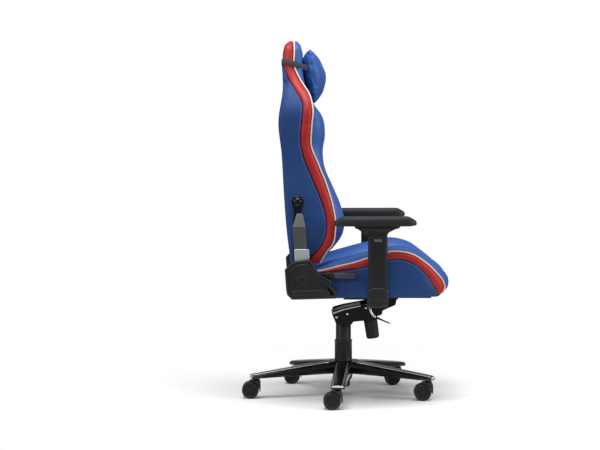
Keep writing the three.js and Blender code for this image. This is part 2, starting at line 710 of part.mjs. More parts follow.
const flatXZ = ([x, , z]) => [x, z];
const frameY = (backCentreHalfWidth + backHalfWidth) / 2 - 8;
const frameThickness = 10;
const frameBottom = backBottom + 22;
const shoulderZ = upBack(0.66);
const lumbarZ = upBack(0.1);

// Room for the frame, cut into the foam from behind.
function frameRoom() {
  const heights = steps(frameBottom - 3, shoulderZ + 3, 12);
  const strip = [...heights.map((z) => [rearLine(z) + foamRear + frameStripDepth + 4, z]),
    ...heights.reverse().map((z) => [rearLine(z) - 40, z])];
  const half = frameThickness / 2 + 2;
  const sides = [-1, 1].map((side) => plateXZ(strip, ...across(side, frameY - half, frameY + half)));
  const bars = [lumbarZ, shoulderZ - 24].map((z) => box(
    [rearLine(z) - 40, rearLine(z) + foamRear + frameStripDepth + 4], [-frameY, frameY], [z - 3, z + 23]));
  return [...sides, ...bars];
}

function backFrame() {
  const heights = steps(frameBottom, shoulderZ, 12);
  const strip = [...heights.map((z) => [rearLine(z) + foamRear + frameStripDepth, z]),
    ...heights.reverse().map((z) => [rearLine(z) + foamRear + 1, z])];
  const half = frameThickness / 2;
  const sides = [-1, 1].map((side) => plateXZ(strip, ...across(side, frameY - half, frameY + half)));
  const bars = [lumbarZ, shoulderZ - 24].map((z) => box(
    [rearLine(z) + foamRear + 4, rearLine(z) + foamRear + frameStripDepth - 1], [-frameY, frameY],
    [z, z + 20]));
  return join(...sides, ...bars);
}

function rearPanel() {
  const profile = [...panelHeights.map((z) => [rearLine(z), z]),
    ...[...panelHeights].reverse().map((z) => [rearLine(z) + panelThickness, z])];
  return common(plateXZ(profile, -300, 300), backSilhouette(3));
}

function backCushion() {
  const heights = steps(backBottom + 6, headStart, 16);
  const rings = [-1, -0.6, 0.6, 1].map((share) => backSection(centreLine, share * backCentreHalfWidth,
    heights, Math.abs(share) === 1 ? 6 : 0));
  return cut(loft(rings, flatXZ), behindFoam(), ...frameRoom());
}

const bolt = [-165, capHeight];     // X, Z of the bracket's upper bolt

function backWing(side) {
  const heights = steps(backBottom, headStart, 18);
  const split = backCentreHalfWidth + gap;
  const rings = [
    [crestLine, 0, 26], [crestLine, 0.4, 0], [crestLine, 0.66, 6], [pipingLine, 0.95, 0],
    [pipingLine, 1.13, 30],
  ].map(([line, share, offset]) => backSection(line,
    side * (split + share * (backHalfWidth - split)), heights, offset));
  const boltHole = rodY(boltRadius + runningFit, ...bolt, [side * backHalfWidth - 18,
    side * backHalfWidth + 18], 12);
  return cut(common(loft(rings, flatXZ), backSilhouette()), behindFoam(), boltHole, ...frameRoom());
}

function headSection() {
  const heights = steps(headStart + gap, backTop, 8);
  const rings = [[-1.6, pipingLine, 10], [-0.98, pipingLine, 0], [-0.86, crestLine, 0],
    [-0.67, centreLine, 0], [0.67, centreLine, 0], [0.86, crestLine, 0], [0.98, pipingLine, 0],
    [1.6, pipingLine, 10]]
    .map(([share, line, offset]) => backSection(line, share * headHalfWidth, heights, offset));
  return cut(common(loft(rings, flatXZ), backSilhouette()), behindFoam());
}

add(upper, 'back_rear_panel', rearPanel(), 'blueLeather');
add(upper, 'back_frame', backFrame(), 'paintedSteel');
add(upper, 'back_cushion', backCushion(), 'blueLeather');
add(upper, 'head_section', headSection(), 'blueLeather');

// Side bracket, its trim and the round-headed bolt that fixes it to the backrest.
const bracketOuter = bracketInner + bracketThickness;
const capRadius = 21;

function backBracket(side) {
  const [x, z] = bolt;
  const profile = [...arc(pivotX, pivotZ, 30, 180, 360, 12), [-135, 520], [-137, 618], [x + 12, 668],
    ...arc(x, z, 18, -40, 220, 12), [x - 12, 668], [-181, 618], [-179, 520]];
  const plate = plateXZ(profile, ...across(side, bracketInner, bracketOuter));
  return cut(plate, rodY(reclineBossRadius + runningFit, pivotX, pivotZ, [-400, 400], 24),
    rodY(boltRadius + runningFit, x, z, [-400, 400], 12));
}

function bracketTrim(side) {
  const profile = [[-174, 506], [-130, 506], [-130, 546], [-137, 618], [-147, 666], [-170, 666],
    [-181, 618], [-181, 546], [-174, 546]];
  return plateXZ(profile, ...across(side, bracketOuter + gap, bracketOuter + 12));
}

function boltCap(side) {
  const reach = bracketOuter + gap;
  const head = turned([[0, backHalfWidth - 16], [boltRadius, backHalfWidth - 16], [boltRadius, reach],
    [capRadius, reach], [capRadius, reach + 8], [capRadius - 5, reach + 13], [0, reach + 13]], 24);
  return head.rotateX(side < 0 ? Math.PI / 2 : -Math.PI / 2).translate(bolt[0], 0, bolt[1]);
}

for (const [side, name] of [[-1, 'right'], [1, 'left']]) {
  add(upper, `back_wing_${name}`, backWing(side), 'blueLeather');
  add(upper, `back_bracket_${name}`, backBracket(side), 'paintedSteel');
  add(upper, `bracket_trim_${name}`, bracketTrim(side), 'greyPlastic');
  add(upper, `bracket_bolt_${name}`, boltCap(side), 'blackPlastic');
}

// ---------------------------------------------------------------------------------------------
// Head pillow on an elastic strap that goes round the head section
// ---------------------------------------------------------------------------------------------

const pillowHalfWidth = 130;
const pillowZ = upBack(0.848);
const pillowX = centreLine(pillowZ) + 42;
const strapZ = upBack(0.893);
const strapWidth = 18;

// The pillow's side view about its own centre, and how full it is towards its pointed ends.
function headPillow() {
  const front = smoothLine([[1, -91], [20, -70], [35, -28], [38, 2], [22, 45], [12, 66], [-2, 87],
    [-13, 91]], 12);
  const rear = [[-30, 76], [-38, 60], [-40, 30], [-37, 4], [-27, -24], [-12, -66]];
  const rings = [[-1, 0.3], [-0.88, 0.75], [-0.5, 1], [0.5, 1], [0.88, 0.75], [1, 0.3]]
    .map(([share, fullness]) => [...front, ...rear].map(([x, z]) => [pillowX + x * fullness,
      share * pillowHalfWidth, pillowZ + z * (0.85 + 0.15 * fullness)]));
  return loft(rings, flatXZ);
}

// The strap's band runs behind the head section and forward to the pillow's ends.
function headStrap() {
  const half = backFront(strapZ);
  const rear = rearLine(strapZ);
  const front = Math.max(centreLine(strapZ), crestLine(strapZ), crestLine(strapZ - strapWidth)) + 8;
  const turnX = pipingLine(strapZ) + 8;
  const end = pillowHalfWidth + 1.5;
  const ring = (margin) => [[rear - margin, -half - margin], [turnX, -half - margin],
    [front, -end - margin], [front, end + margin], [turnX, half + margin], [rear - margin, half + margin]];
  const open = box([rear + 40, front + 40], [-end, end], [strapZ - strapWidth, strapZ + strapWidth]);
  return cut(plateXY(ring(3.2), strapZ - strapWidth / 2, strapZ + strapWidth / 2),
    plateXY(ring(1.6), strapZ - strapWidth, strapZ + strapWidth), open);
}

add(upper, 'head_pillow', headPillow(), 'blueLeather');
add(upper, 'head_strap', headStrap(), 'elastic');

// ---------------------------------------------------------------------------------------------
// Armrests: bracket under the seat, post, sliding sleeve with its button, turning carrier and pad
// ---------------------------------------------------------------------------------------------

const bracketTop = plateTop - gap;
const armBracketThickness = 8;
const armBracketSpan = [98, 140];
const postTop = 560;
const buttonZ = 578;
const carrierTop = 627;

function armBracket(side) {
  return box(armBracketSpan, across(side, plateHalfWidth + 4, armY + 12),
    [bracketTop - armBracketThickness, bracketTop]);
}

// A rectangle with cut corners, centred on the armrest's vertical axis.
function stadium(side, length, width, corner) {
  const [x, y, dx, dy] = [armX, side * armY, length / 2, width / 2];
  return [[x - dx, y - dy + corner], [x - dx + corner, y - dy], [x + dx - corner, y - dy],
    [x + dx, y - dy + corner], [x + dx, y + dy - corner], [x + dx - corner, y + dy],
    [x - dx + corner, y + dy], [x - dx, y + dy - corner]];
}

function armPost(side) {
  const foot = plateXY(stadium(side, sleeveLength + 6, sleeveWidth + 6, 10), 348, sleeveBottom - 2);
  const post = plateXY(stadium(side, postLength, postWidth, 2), sleeveBottom - 4, postTop);
  const slot = box([armBracketSpan[0] - gap, armBracketSpan[1] + gap], across(side, 0, armY + 12 + gap),
    [bracketTop - armBracketThickness - gap, bracketTop + gap]);
  return cut(join(foot, post), slot);
}

function armSleeve(side) {
  const body = plateXY(stadium(side, sleeveLength, sleeveWidth, 8), sleeveBottom, sleeveTop);
  const cavity = plateXY(stadium(side, postLength + 2 * sleeveFit, postWidth + 2 * sleeveFit, 2),
    sleeveBottom - 5, postTop + 6);
  const outer = armY + sleeveWidth / 2;
  const buttonRoom = box([94, 121], across(side, outer - 9, outer + 5), [buttonZ - 5, buttonZ + 5]);
  const pinHole = rodZ(6 + runningFit, armX, side * armY, [sleeveTop - 17, sleeveTop + 5], 16);
  return cut(body, cavity, buttonRoom, pinHole);
}

function armButton(side) {
  const outer = armY + sleeveWidth / 2;
  return box([94.5, 120.5], across(side, outer - 5.5, outer + 1.5), [buttonZ - 4.5, buttonZ + 4.5]);
}

function armCarrier(side) {
  const low = sleeveTop + gap;
  const block = plateXZ([[53, low], [141, low], [150, 608], [184, 621], [184, carrierTop],
    [29, carrierTop], [29, 621], [46, 608]], ...across(side, armY - 28, armY + 28));
  return join(block, rodZ(6, armX, side * armY, [sleeveTop - 15, low + 4], 16));
}

function armPad(side) {
  const low = carrierTop + gap;
  const [rear, nose] = [padRearX, padRearX + padLength];
  const profile = plateXZ([[rear + 3, low + 8], [rear + 12, low], [nose - 32, low], [nose, low + 20],
    [nose - 3, low + 27], [nose - 22, low + padThickness], [rear + 60, low + padThickness - 3],
    [rear + 8, low + padThickness - 8], [rear, low + padThickness - 14]],
  ...across(side, armY - padWidth / 2, armY + padWidth / 2));
  const [y, half] = [side * armY, padWidth / 2];
  const plan = plateXY([[rear, y - half + 22], [rear + 20, y - half + 3], [rear + 70, y - half],
    [nose - 45, y - half], [nose - 12, y - half + 12], [nose, y - half + 30], [nose, y + half - 30],
    [nose - 12, y + half - 12], [nose - 45, y + half], [rear + 70, y + half],
    [rear + 20, y + half - 3], [rear, y + half - 22]], low - 5, low + padThickness + 5);
  return common(profile, plan);
}

for (const [side, name] of [[-1, 'right'], [1, 'left']]) {
  add(upper, `arm_bracket_${name}`, armBracket(side), 'paintedSteel');
  add(upper, `arm_post_${name}`, armPost(side), 'blackPlastic');
  add(upper, `arm_sleeve_${name}`, armSleeve(side), 'blackPlastic');
  add(upper, `arm_button_${name}`, armButton(side), 'greyPlastic');
  add(upper, `arm_carrier_${name}`, armCarrier(side), 'blackPlastic');
  add(upper, `arm_pad_${name}`, armPad(side), 'softBlack');
}

// Centre the whole chair over the origin, standing on Z = 0.
chair.updateMatrixWorld(true);
const extent = new THREE.Box3().setFromObject(chair, true);
chair.position.set(-(extent.min.x + extent.max.x) / 2, -(extent.min.y + extent.max.y) / 2, -extent.min.z);

export default chair;
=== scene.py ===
# %% [markdown]
# # A racing-style gaming chair, dressed around its CAD frame
# The CAD part holds every size, joint and hard shape of this chair. Blender's job is the
# finish: leather over foam, moulded plastic, plated steel.
# So the imported CAD part is loaded first as a fixed frame, in metres, with +Z up and the seat
# facing +X. Each piece made below takes its place from that frame and then rides on one of
# its bodies, so it moves when the real piece would.

# %% Load the frame
import math

import bmesh
import bpy
import numpy as np
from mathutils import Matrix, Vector


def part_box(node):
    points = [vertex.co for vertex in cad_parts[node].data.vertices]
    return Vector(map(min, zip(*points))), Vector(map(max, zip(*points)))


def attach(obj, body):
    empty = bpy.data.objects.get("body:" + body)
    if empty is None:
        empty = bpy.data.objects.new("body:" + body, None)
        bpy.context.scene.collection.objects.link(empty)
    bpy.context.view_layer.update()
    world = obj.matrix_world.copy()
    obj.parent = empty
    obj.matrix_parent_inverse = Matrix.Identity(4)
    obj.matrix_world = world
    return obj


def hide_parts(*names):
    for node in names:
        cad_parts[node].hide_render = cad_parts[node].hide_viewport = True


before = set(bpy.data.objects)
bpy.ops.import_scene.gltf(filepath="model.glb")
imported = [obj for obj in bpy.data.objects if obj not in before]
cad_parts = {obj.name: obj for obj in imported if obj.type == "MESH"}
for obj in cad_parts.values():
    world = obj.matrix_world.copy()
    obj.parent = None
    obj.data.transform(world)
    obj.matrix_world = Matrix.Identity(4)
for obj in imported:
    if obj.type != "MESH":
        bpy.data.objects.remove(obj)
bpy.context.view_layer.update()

# %% [markdown]
# ## Drawing units
# A chair is drawn in millimetres from its gas lift, because everything turns about that
# column. `place` turns such a drawing into the frame's metres. The column's own place comes
# from the CAD tube, so the drawing follows the frame.

# %% Millimetres from the gas lift's axis
MM = 0.001
tube_low, tube_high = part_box("gas_cylinder_tube")
lift_axis = np.array([(tube_low.x + tube_high.x) / 2, (tube_low.y + tube_high.y) / 2, 0.0])


def place(points):
    """Points in millimetres from the lift's axis, as metres in the frame."""
    return np.asarray(points, float) * MM + lift_axis


def drawn(node):
    """A CAD node's lowest and highest corner, in millimetres from the lift's axis."""
    return [(np.array(corner) - lift_axis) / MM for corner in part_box(node)]


print("lift axis at", lift_axis.round(5))

# %% [markdown]
# ## Camera
# The chair is seen square from its right side, from six metres away and a little above the
# armrests. A long lens keeps the five casters and the headrest free of stretching. The camera
# looks three degrees down, so the tops of the armrest pads just show.

# %% Camera
camera_data = bpy.data.cameras.new("side_camera")
camera_data.lens = 100.6
camera_data.sensor_width = 36
camera = bpy.data.objects.new("side_camera", camera_data)
camera.location = place([-167.5, -5998, 952])
camera.rotation_euler = (math.radians(90 - 3.24), 0, math.radians(-0.11))
bpy.context.scene.collection.objects.link(camera)
bpy.context.scene.camera = camera
print("camera at", tuple(round(v, 3) for v in camera.location))

# %% [markdown]
# ## Building tools
# Most of this chair is one of four things: a skin stretched between sewn lines, a closed form
# lofted through rings, a plate cut to an outline, or a rod swept along a line. Each gets one
# small function that makes a closed mesh, because a closed mesh shades well, never shows a
# hole from behind and can be printed or simulated.

# %% Smooth lines
def curve_through(points, values=None):
    """A smooth function through (share, value) points. The values may be whole arrays."""
    if values is None:
        points, values = zip(*points)
    t, v = np.array(points, float), np.array(values, float)
    slope = np.gradient(v, t, axis=0)

    def value(x):
        x = np.clip(np.atleast_1d(np.asarray(x, float)), t[0], t[-1])
        i = np.clip(np.searchsorted(t, x) - 1, 0, len(t) - 2)
        shape = (-1,) + (1,) * (v.ndim - 1)
        step = (t[i + 1] - t[i]).reshape(shape)
        u = (x - t[i]).reshape(shape) / step
        return ((2 * u**3 - 3 * u**2 + 1) * v[i] + (u**3 - 2 * u**2 + u) * step * slope[i]
                + (3 * u**2 - 2 * u**3) * v[i + 1] + (u**3 - u**2) * step * slope[i + 1])

    return value


def lengths_along(line):
    """How far each point of a line is from its start."""
    return np.r_[0, np.cumsum(np.linalg.norm(np.diff(line, axis=0), axis=1))]


def line_through(points, count):
    """A smooth line through the points, as count points at even distances."""
    points = np.array(points, float)
    reach = lengths_along(points)
    dense = curve_through(reach, points)(np.linspace(0, reach[-1], 30 * len(points)))
    reach = lengths_along(dense)
    even = np.linspace(0, reach[-1], count)
    return np.stack([np.interp(even, reach, column) for column in dense.T], 1)


# %% [markdown]
# ## Meshes from grids
# A grid of points is the friendliest start for upholstery: rows run across the panel, columns
# along the seam, and subdivision then rounds it like foam. `piece` is the one place where a
# mesh becomes an object, gets its material and joins a body.

# %% From points to a piece on a body
def piece(name, points, faces, material, body=None, smooth=60, subdivide=0):
    """A mesh object from points in millimetres from the lift's axis."""
    mesh = bpy.data.meshes.new(name)
    mesh.from_pydata([tuple(p) for p in place(points)], [], [tuple(f) for f in faces])
    shape = bmesh.new()
    shape.from_mesh(mesh)
    bmesh.ops.recalc_face_normals(shape, faces=shape.faces)
    shape.to_mesh(mesh)
    shape.free()
    mesh.shade_smooth()
    if smooth < 180:
        mesh.set_sharp_from_angle(angle=math.radians(smooth))
    made = bpy.data.objects.new(name, mesh)
    bpy.context.scene.collection.objects.link(made)
    mesh.materials.append(material)
    if subdivide:
        rounding = made.modifiers.new("foam_rounding", "SUBSURF")
        rounding.levels = rounding.render_levels = subdivide
    if body:
        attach(made, body)
    return made


def ring_faces(rings, count, closed_ends=True):
    """Faces of a loft: rings of count points each, joined ring to ring, with flat ends."""
    faces = [(r * count + i, r * count + (i + 1) % count,
              (r + 1) * count + (i + 1) % count, (r + 1) * count + i)
             for r in range(rings - 1) for i in range(count)]
    if closed_ends:
        faces += [tuple(range(count)), tuple(range((rings - 1) * count, rings * count))]
    return faces


def loft(name, rings, material, body=None, **look):
    """A closed form through rings that all have the same number of points."""
    rings = np.asarray(rings, float)
    return piece(name, rings.reshape(-1, 3), ring_faces(len(rings), rings.shape[1]), material,
                 body, **look)


# %% [markdown]
# ## Sewn panels
# A car-seat cover is a set of leather panels, each sewn to the next along a line that runs
# the whole length of the cushion. Foam pushes every panel out into a shallow crown and the
# thread pulls its edges in, which leaves a soft groove along each seam. `sewn_panel` does the
# same: it fills the space between guide lines, crowns it, sinks the edges, adds small puckers
# beside the thread, and closes the panel at the back so that it has a real thickness.

# %% The sewn panel
def across_guides(guides, shares):
    """Rows between the guide lines, at shares of the way from the first to the last."""
    stack = np.stack([np.asarray(g, float) for g in guides])
    gaps = np.linalg.norm(np.diff(stack, axis=0), axis=2).mean(1)
    marks = np.r_[0, np.cumsum(gaps)]
    return curve_through(marks / marks[-1], stack)(shares), marks[-1]


def surface_normals(grid, outward):
    """Unit normals of a grid of points, turned to the side that outward points to."""
    normal = np.cross(np.gradient(grid, axis=1), np.gradient(grid, axis=0))
    normal /= np.maximum(np.linalg.norm(normal, axis=2, keepdims=True), 1e-9)
    return normal if (normal @ np.array(outward, float)).mean() > 0 else -normal


def sewn_panel(name, guides, outward, material, body, crown=4, seam=2.5, depth=9,
               pucker=0.5, rows=12, lean=0.0, subdivide=1, seed=1):
    """A padded leather panel between guide lines. lean moves the crown's peak sideways."""
    _, width = across_guides(guides, [0.0])
    edge = np.array([0, 1.2, 3.2, 6.5]) / max(width, 28)
    shares = np.r_[edge, np.linspace(edge[-1], 1 - edge[-1], rows)[1:-1], 1 - edge[::-1]]
    grid, _ = across_guides(guides, shares)
    normal = surface_normals(grid, outward)
    across = np.abs(2 * shares - 1 - lean * (1 - (2 * shares - 1) ** 2))
    rise = crown * (1 - across ** 2.4)
    distance = np.minimum(shares, 1 - shares) * width
    rise -= seam * np.exp(-distance / 1.8)
    reach = lengths_along(grid[len(shares) // 2])
    wave = np.zeros_like(reach)
    chance = np.random.default_rng(seed)
    for pitch in (19.0, 27.0, 41.0):
        wave += np.sin(2 * np.pi * reach / pitch + chance.uniform(0, 6.28)) / 3
    rise = rise[:, None] + pucker * np.exp(-((distance - 7) / 6) ** 2)[:, None] * wave[None, :]
    rise *= np.clip(np.linalg.norm(grid[-1] - grid[0], axis=1) / 42, 0.08, 1) ** 1.5
    outer = grid + normal * rise[:, :, None]
    inner = grid - normal * depth
    count_across, count_along = len(shares), grid.shape[1]
    rings = np.concatenate([outer, inner[::-1]]).transpose(1, 0, 2)
    faces = ring_faces(count_along, 2 * count_across, closed_ends=False)
    for start in (0, (count_along - 1) * 2 * count_across):
        faces += [(start + i, start + i + 1,
                   start + 2 * count_across - 2 - i, start + 2 * count_across - 1 - i)
                  for i in range(count_across - 1)]
    made = piece(name, rings.reshape(-1, 3), faces, material, body, smooth=180,
                 subdivide=subdivide)
    return made


# %% [markdown]
# ## Rods, cords and turned parts
# Piping is a cord rolled in leather, a lever is a bent rod and a gas lift is a turned tube.
# All three are a round section carried along a line, so one sweep makes them.

# %% Sweeps and turned forms
def sweep(name, line, radius, material, body=None, sides=12, up=(0, 1, 0), flat=1.0, **look):
    """A round or oval section carried along a line, closed at both ends by small domes."""
    line = np.asarray(line, float)
    radius = np.broadcast_to(np.asarray(radius, float), (len(line),))
    along = np.gradient(line, axis=0)
    along /= np.linalg.norm(along, axis=1, keepdims=True)
    side = np.cross(along, np.array(up, float))
    side /= np.linalg.norm(side, axis=1, keepdims=True)
    top = np.cross(side, along)
    turn = np.linspace(0, 2 * np.pi, sides, endpoint=False)
    rings = [c + r * (np.cos(turn)[:, None] * s + flat * np.sin(turn)[:, None] * t)
             for c, r, s, t in zip(line, radius, side, top)]
    start, end = (line[0] + (rings[0] - line[0]) * 0.6 - along[0] * radius[0] * 0.5,
                  line[-1] + (rings[-1] - line[-1]) * 0.6 + along[-1] * radius[-1] * 0.5)
    return loft(name, [start, *rings, end], material, body, smooth=70, **look)


def turned(name, profile, centre, material, body=None, axis=(0, 0, 1), sides=48, smooth=35,
           **look):
    """A turned form: (distance along the axis, radius) points, from one end to the other."""
    axis = np.array(axis, float) / np.linalg.norm(axis)
    side = np.cross(axis, (0, 1, 0) if abs(axis[1]) < 0.9 else (1, 0, 0))
    side /= np.linalg.norm(side)
    other = np.cross(axis, side)
    turn = np.linspace(0, 2 * np.pi, sides, endpoint=False)
    spokes = np.cos(turn)[:, None] * side + np.sin(turn)[:, None] * other
    rings = [np.array(centre, float) + axis * height + spokes * max(radius, 0.05)
             for height, radius in profile]
    return loft(name, rings, material, body, smooth=smooth, **look)


# %% [markdown]
# ## Plates
# Covers, brackets and levers are pressed or moulded plates: one outline with a thickness and
# broken edges. The outline is drawn from the side, corners are rounded by a radius, and a
# bevel catches the light along every edge, as it does on a real moulding.

# %% Plates with broken edges
def rounded(outline, radius, steps=5):
    """An outline with each corner replaced by an arc, as far as its sides allow."""
    outline = [np.array(p, float) for p in outline]
    made = []
    for i, corner in enumerate(outline):
        before, after = outline[i - 1], outline[(i + 1) % len(outline)]
        to_before, to_after = before - corner, after - corner
        reach = min(radius, np.linalg.norm(to_before) * 0.45, np.linalg.norm(to_after) * 0.45)
        start = corner + to_before / np.linalg.norm(to_before) * reach
        end = corner + to_after / np.linalg.norm(to_after) * reach
        for share in np.linspace(0, 1, steps):
            made.append((1 - share) ** 2 * start + 2 * share * (1 - share) * corner
                        + share ** 2 * end)
    return np.array(made)


def arc(x, z, radius, start, end, steps=12):
    """Points on an arc, in degrees."""
    return [(x + radius * math.cos(math.radians(a)), z + radius * math.sin(math.radians(a)))
            for a in np.linspace(start, end, steps)]


def break_edges(made, width, segments=2, angle=40):
    """Rounds every sharp edge of a piece a little, as moulding and painting do."""
    bevel = made.modifiers.new("broken_edges", "BEVEL")
    bevel.width = width * MM
    bevel.segments = segments
    bevel.limit_method = "ANGLE"
    bevel.angle_limit = math.radians(angle)
    bevel.harden_normals = True
    return made


def plate(name, outline, between, material, body=None, axis="y", edge=1.2):
    """A plate between two places on an axis, with its outline drawn across that axis."""
    spread = {"x": lambda a, b, c: (c, a, b), "y": lambda a, b, c: (a, c, b),
              "z": lambda a, b, c: (a, b, c)}[axis]
    rings = [[spread(a, b, level) for a, b in outline] for level in between]
    return break_edges(loft(name, rings, material, body, smooth=40), edge)


# %% [markdown]
# ## Stage
# The chair stands on a pale studio sweep. The floor only has to carry the soft contact
# shadows, so it fades out a few metres away and leaves the white surroundings. Large soft
# lamps overhead, in front and behind give leather its broad, quiet highlights.

# %% Floor and lamps
def new_material(name):
    """An empty node material, with its shader and a function that adds nodes."""
    material = bpy.data.materials.new(name)
    material.use_nodes = True
    tree = material.node_tree
    return material, tree, tree.nodes["Principled BSDF"]


def floor_material():
    material, tree, shader = new_material("studio_floor")
    shader.inputs["Base Color"].default_value = (0.9, 0.9, 0.9, 1)
    shader.inputs["Roughness"].default_value = 0.85
    where = tree.nodes.new("ShaderNodeTexCoord")
    away = tree.nodes.new("ShaderNodeVectorMath")
    away.operation = "LENGTH"
    tree.links.new(where.outputs["Object"], away.inputs[0])
    fade = tree.nodes.new("ShaderNodeMapRange")
    fade.interpolation_type = "SMOOTHSTEP"
    fade.inputs["From Min"].default_value = 0.55
    fade.inputs["From Max"].default_value = 1.5
    tree.links.new(away.outputs["Value"], fade.inputs["Value"])
    clear = tree.nodes.new("ShaderNodeBsdfTransparent")
    mix = tree.nodes.new("ShaderNodeMixShader")
    tree.links.new(fade.outputs["Result"], mix.inputs[0])
    tree.links.new(shader.outputs[0], mix.inputs[1])
    tree.links.new(clear.outputs[0], mix.inputs[2])
    tree.links.new(mix.outputs[0], tree.nodes["Material Output"].inputs["Surface"])
    return material


def studio_floor():
    turn = np.linspace(0, 2 * np.pi, 64, endpoint=False)
    rim = np.stack([2600 * np.cos(turn), 2600 * np.sin(turn), 0 * turn], 1)
    floor = piece("studio_floor", rim, [tuple(range(64))], floor_material())


def soft_lamp(name, at, target, size, power):
    lamp = bpy.data.lights.new(name, "AREA")
    lamp.shape = "RECTANGLE"
    lamp.size, lamp.size_y = size
    lamp.energy = power
    holder = bpy.data.objects.new(name, lamp)
    holder.location = at
    direction = Vector(target) - Vector(at)
    holder.rotation_euler = direction.to_track_quat("-Z", "Y").to_euler()
    bpy.context.scene.collection.objects.link(holder)


def surroundings():
    """White to look at, but a dimmer grey for the light that falls on the chair."""
    world = bpy.data.worlds.new("white_studio")
    bpy.context.scene.world = world
    world.use_nodes = True
    tree = world.node_tree
    seen = tree.nodes["Background"]
    seen.inputs["Color"].default_value = (1, 1, 1, 1)
    seen.inputs["Strength"].default_value = 1.0
    lit = tree.nodes.new("ShaderNodeBackground")
    lit.inputs["Color"].default_value = (0.93, 0.96, 1.0, 1)
    lit.inputs["Strength"].default_value = 0.30
    path = tree.nodes.new("ShaderNodeLightPath")
    mix = tree.nodes.new("ShaderNodeMixShader")
    tree.links.new(path.outputs["Is Camera Ray"], mix.inputs[0])
    tree.links.new(lit.outputs[0], mix.inputs[1])
    tree.links.new(seen.outputs[0], mix.inputs[2])
    tree.links.new(mix.outputs[0], tree.nodes["World Output"].inputs["Surface"])


studio_floor()
surroundings()
soft_lamp("overhead_lamp", (0.2, -0.9, 4.8), (0, 0, 0.5), (3.4, 2.8), 215)
soft_lamp("front_lamp", (3.6, -1.6, 1.6), (0, 0, 0.6), (1.6, 2.0), 62)
soft_lamp("rear_lamp", (-3.4, -1.6, 2.0), (-0.1, 0, 0.7), (1.0, 2.0), 45)
soft_lamp("side_lamp", (-0.8, -4.8, 4.0), (0, 0, 0.6), (2.6, 1.4), 62)
bpy.context.scene.view_settings.view_transform = "Standard"
print("stage set")

# %% [markdown]
# ## Finishes
# Every finish is made of nodes, so it has no edges and no pictures. Leather is read by its
# eye through three scales at once: a pebbled grain under a millimetre, soft creases a few
# centimetres long, and a slow change of colour and gloss over the whole hide. Each scale is
# one texture below, and the bumps are chained so that they add up.

# %% A helper for nodes
def node(tree, kind, inputs=None, **settings):
    """Adds a shader node. An input is a number, a colour or another node's output."""
    made = tree.nodes.new("ShaderNode" + kind)
    for key, value in settings.items():
        setattr(made, key, value)
    for socket, value in (inputs or {}).items():
        if isinstance(value, bpy.types.NodeSocket):
            tree.links.new(value, made.inputs[socket])
        else:
            made.inputs[socket].default_value = value
    return made


def stretched(tree, scale):
    """The piece's own coordinates, stretched."""
    where = node(tree, "TexCoord").outputs["Object"]
    return node(tree, "Mapping", {"Vector": where, "Scale": scale}).outputs["Vector"]


def noise(tree, scale, detail=3.0, vector=None):
    vector = vector or node(tree, "TexCoord").outputs["Object"]
    return node(tree, "TexNoise", {"Vector": vector, "Scale": scale, "Detail": detail})


def ramp(tree, factor, low, high, start=0.3, end=0.7):
    """Blends from one colour to another as a texture rises from start to end."""
    made = node(tree, "ValToRGB", {"Fac": factor})
    for element, at, colour in zip(made.color_ramp.elements, (start, end), (low, high)):
        element.position = at
        element.color = (*colour, 1)
    return made.outputs["Color"]


def spread(tree, factor, low, high):
    """Moves a texture's middle range to low..high, for roughness."""
    return node(tree, "MapRange", {"Value": factor, "From Min": 0.3, "From Max": 0.7,
                                   "To Min": low, "To Max": high}).outputs["Result"]


def bump(tree, height, millimetres, strength=1.0, under=None):
    """A bump of a real height, on top of the bump under it."""
    inputs = {"Height": height, "Distance": millimetres * MM, "Strength": strength}
    if under:
        inputs["Normal"] = under
    return node(tree, "Bump", inputs).outputs["Normal"]


def connect(tree, shader, **sockets):
    for name, output in sockets.items():
        tree.links.new(output, shader.inputs[name.replace("_", " ")])


# %% [markdown]
# ## Leather
# The covers are coated synthetic leather in blue, navy, red and cream. It could be one flat
# colour, but the real coating is embossed, so light breaks up on it. Noise makes the slow change
# of colour, a stretched noise the creases, and small cells the pebbled grain.

# %% Leather, in four colours
def leather(name, colour, deep, smooth=0.44, matt=0.58, coat=0.05, shine=0.36):
    material, tree, shader = new_material(name)
    hide = noise(tree, 6.5, 4.0).outputs["Fac"]
    creases = noise(tree, 26.0, 2.0, stretched(tree, (1.0, 1.0, 0.45))).outputs["Fac"]
    pebbles = node(tree, "TexVoronoi", {"Vector": stretched(tree, (1, 1, 1)),
                                        "Scale": 760.0}).outputs["Distance"]
    folds = bump(tree, creases, 1.3, 0.22)
    connect(tree, shader, Base_Color=ramp(tree, hide, deep, colour),
            Roughness=spread(tree, noise(tree, 34.0).outputs["Fac"], smooth, matt),
            Normal=bump(tree, pebbles, 0.14, 0.5, folds))
    shader.inputs["Specular IOR Level"].default_value = shine
    shader.inputs["Coat Weight"].default_value = coat
    shader.inputs["Coat Roughness"].default_value = 0.32
    return material


navy_leather = leather("navy_leather", (0.016, 0.054, 0.185), (0.011, 0.041, 0.148), 0.52, 0.64,
                       0.0, 0.22)
blue_leather = leather("blue_leather", (0.028, 0.100, 0.360), (0.020, 0.078, 0.300))
red_leather = leather("red_leather", (0.42, 0.013, 0.010), (0.30, 0.008, 0.007))
cream_leather = leather("cream_leather", (0.80, 0.64, 0.47), (0.72, 0.57, 0.41), 0.46, 0.58)
print("four leathers")
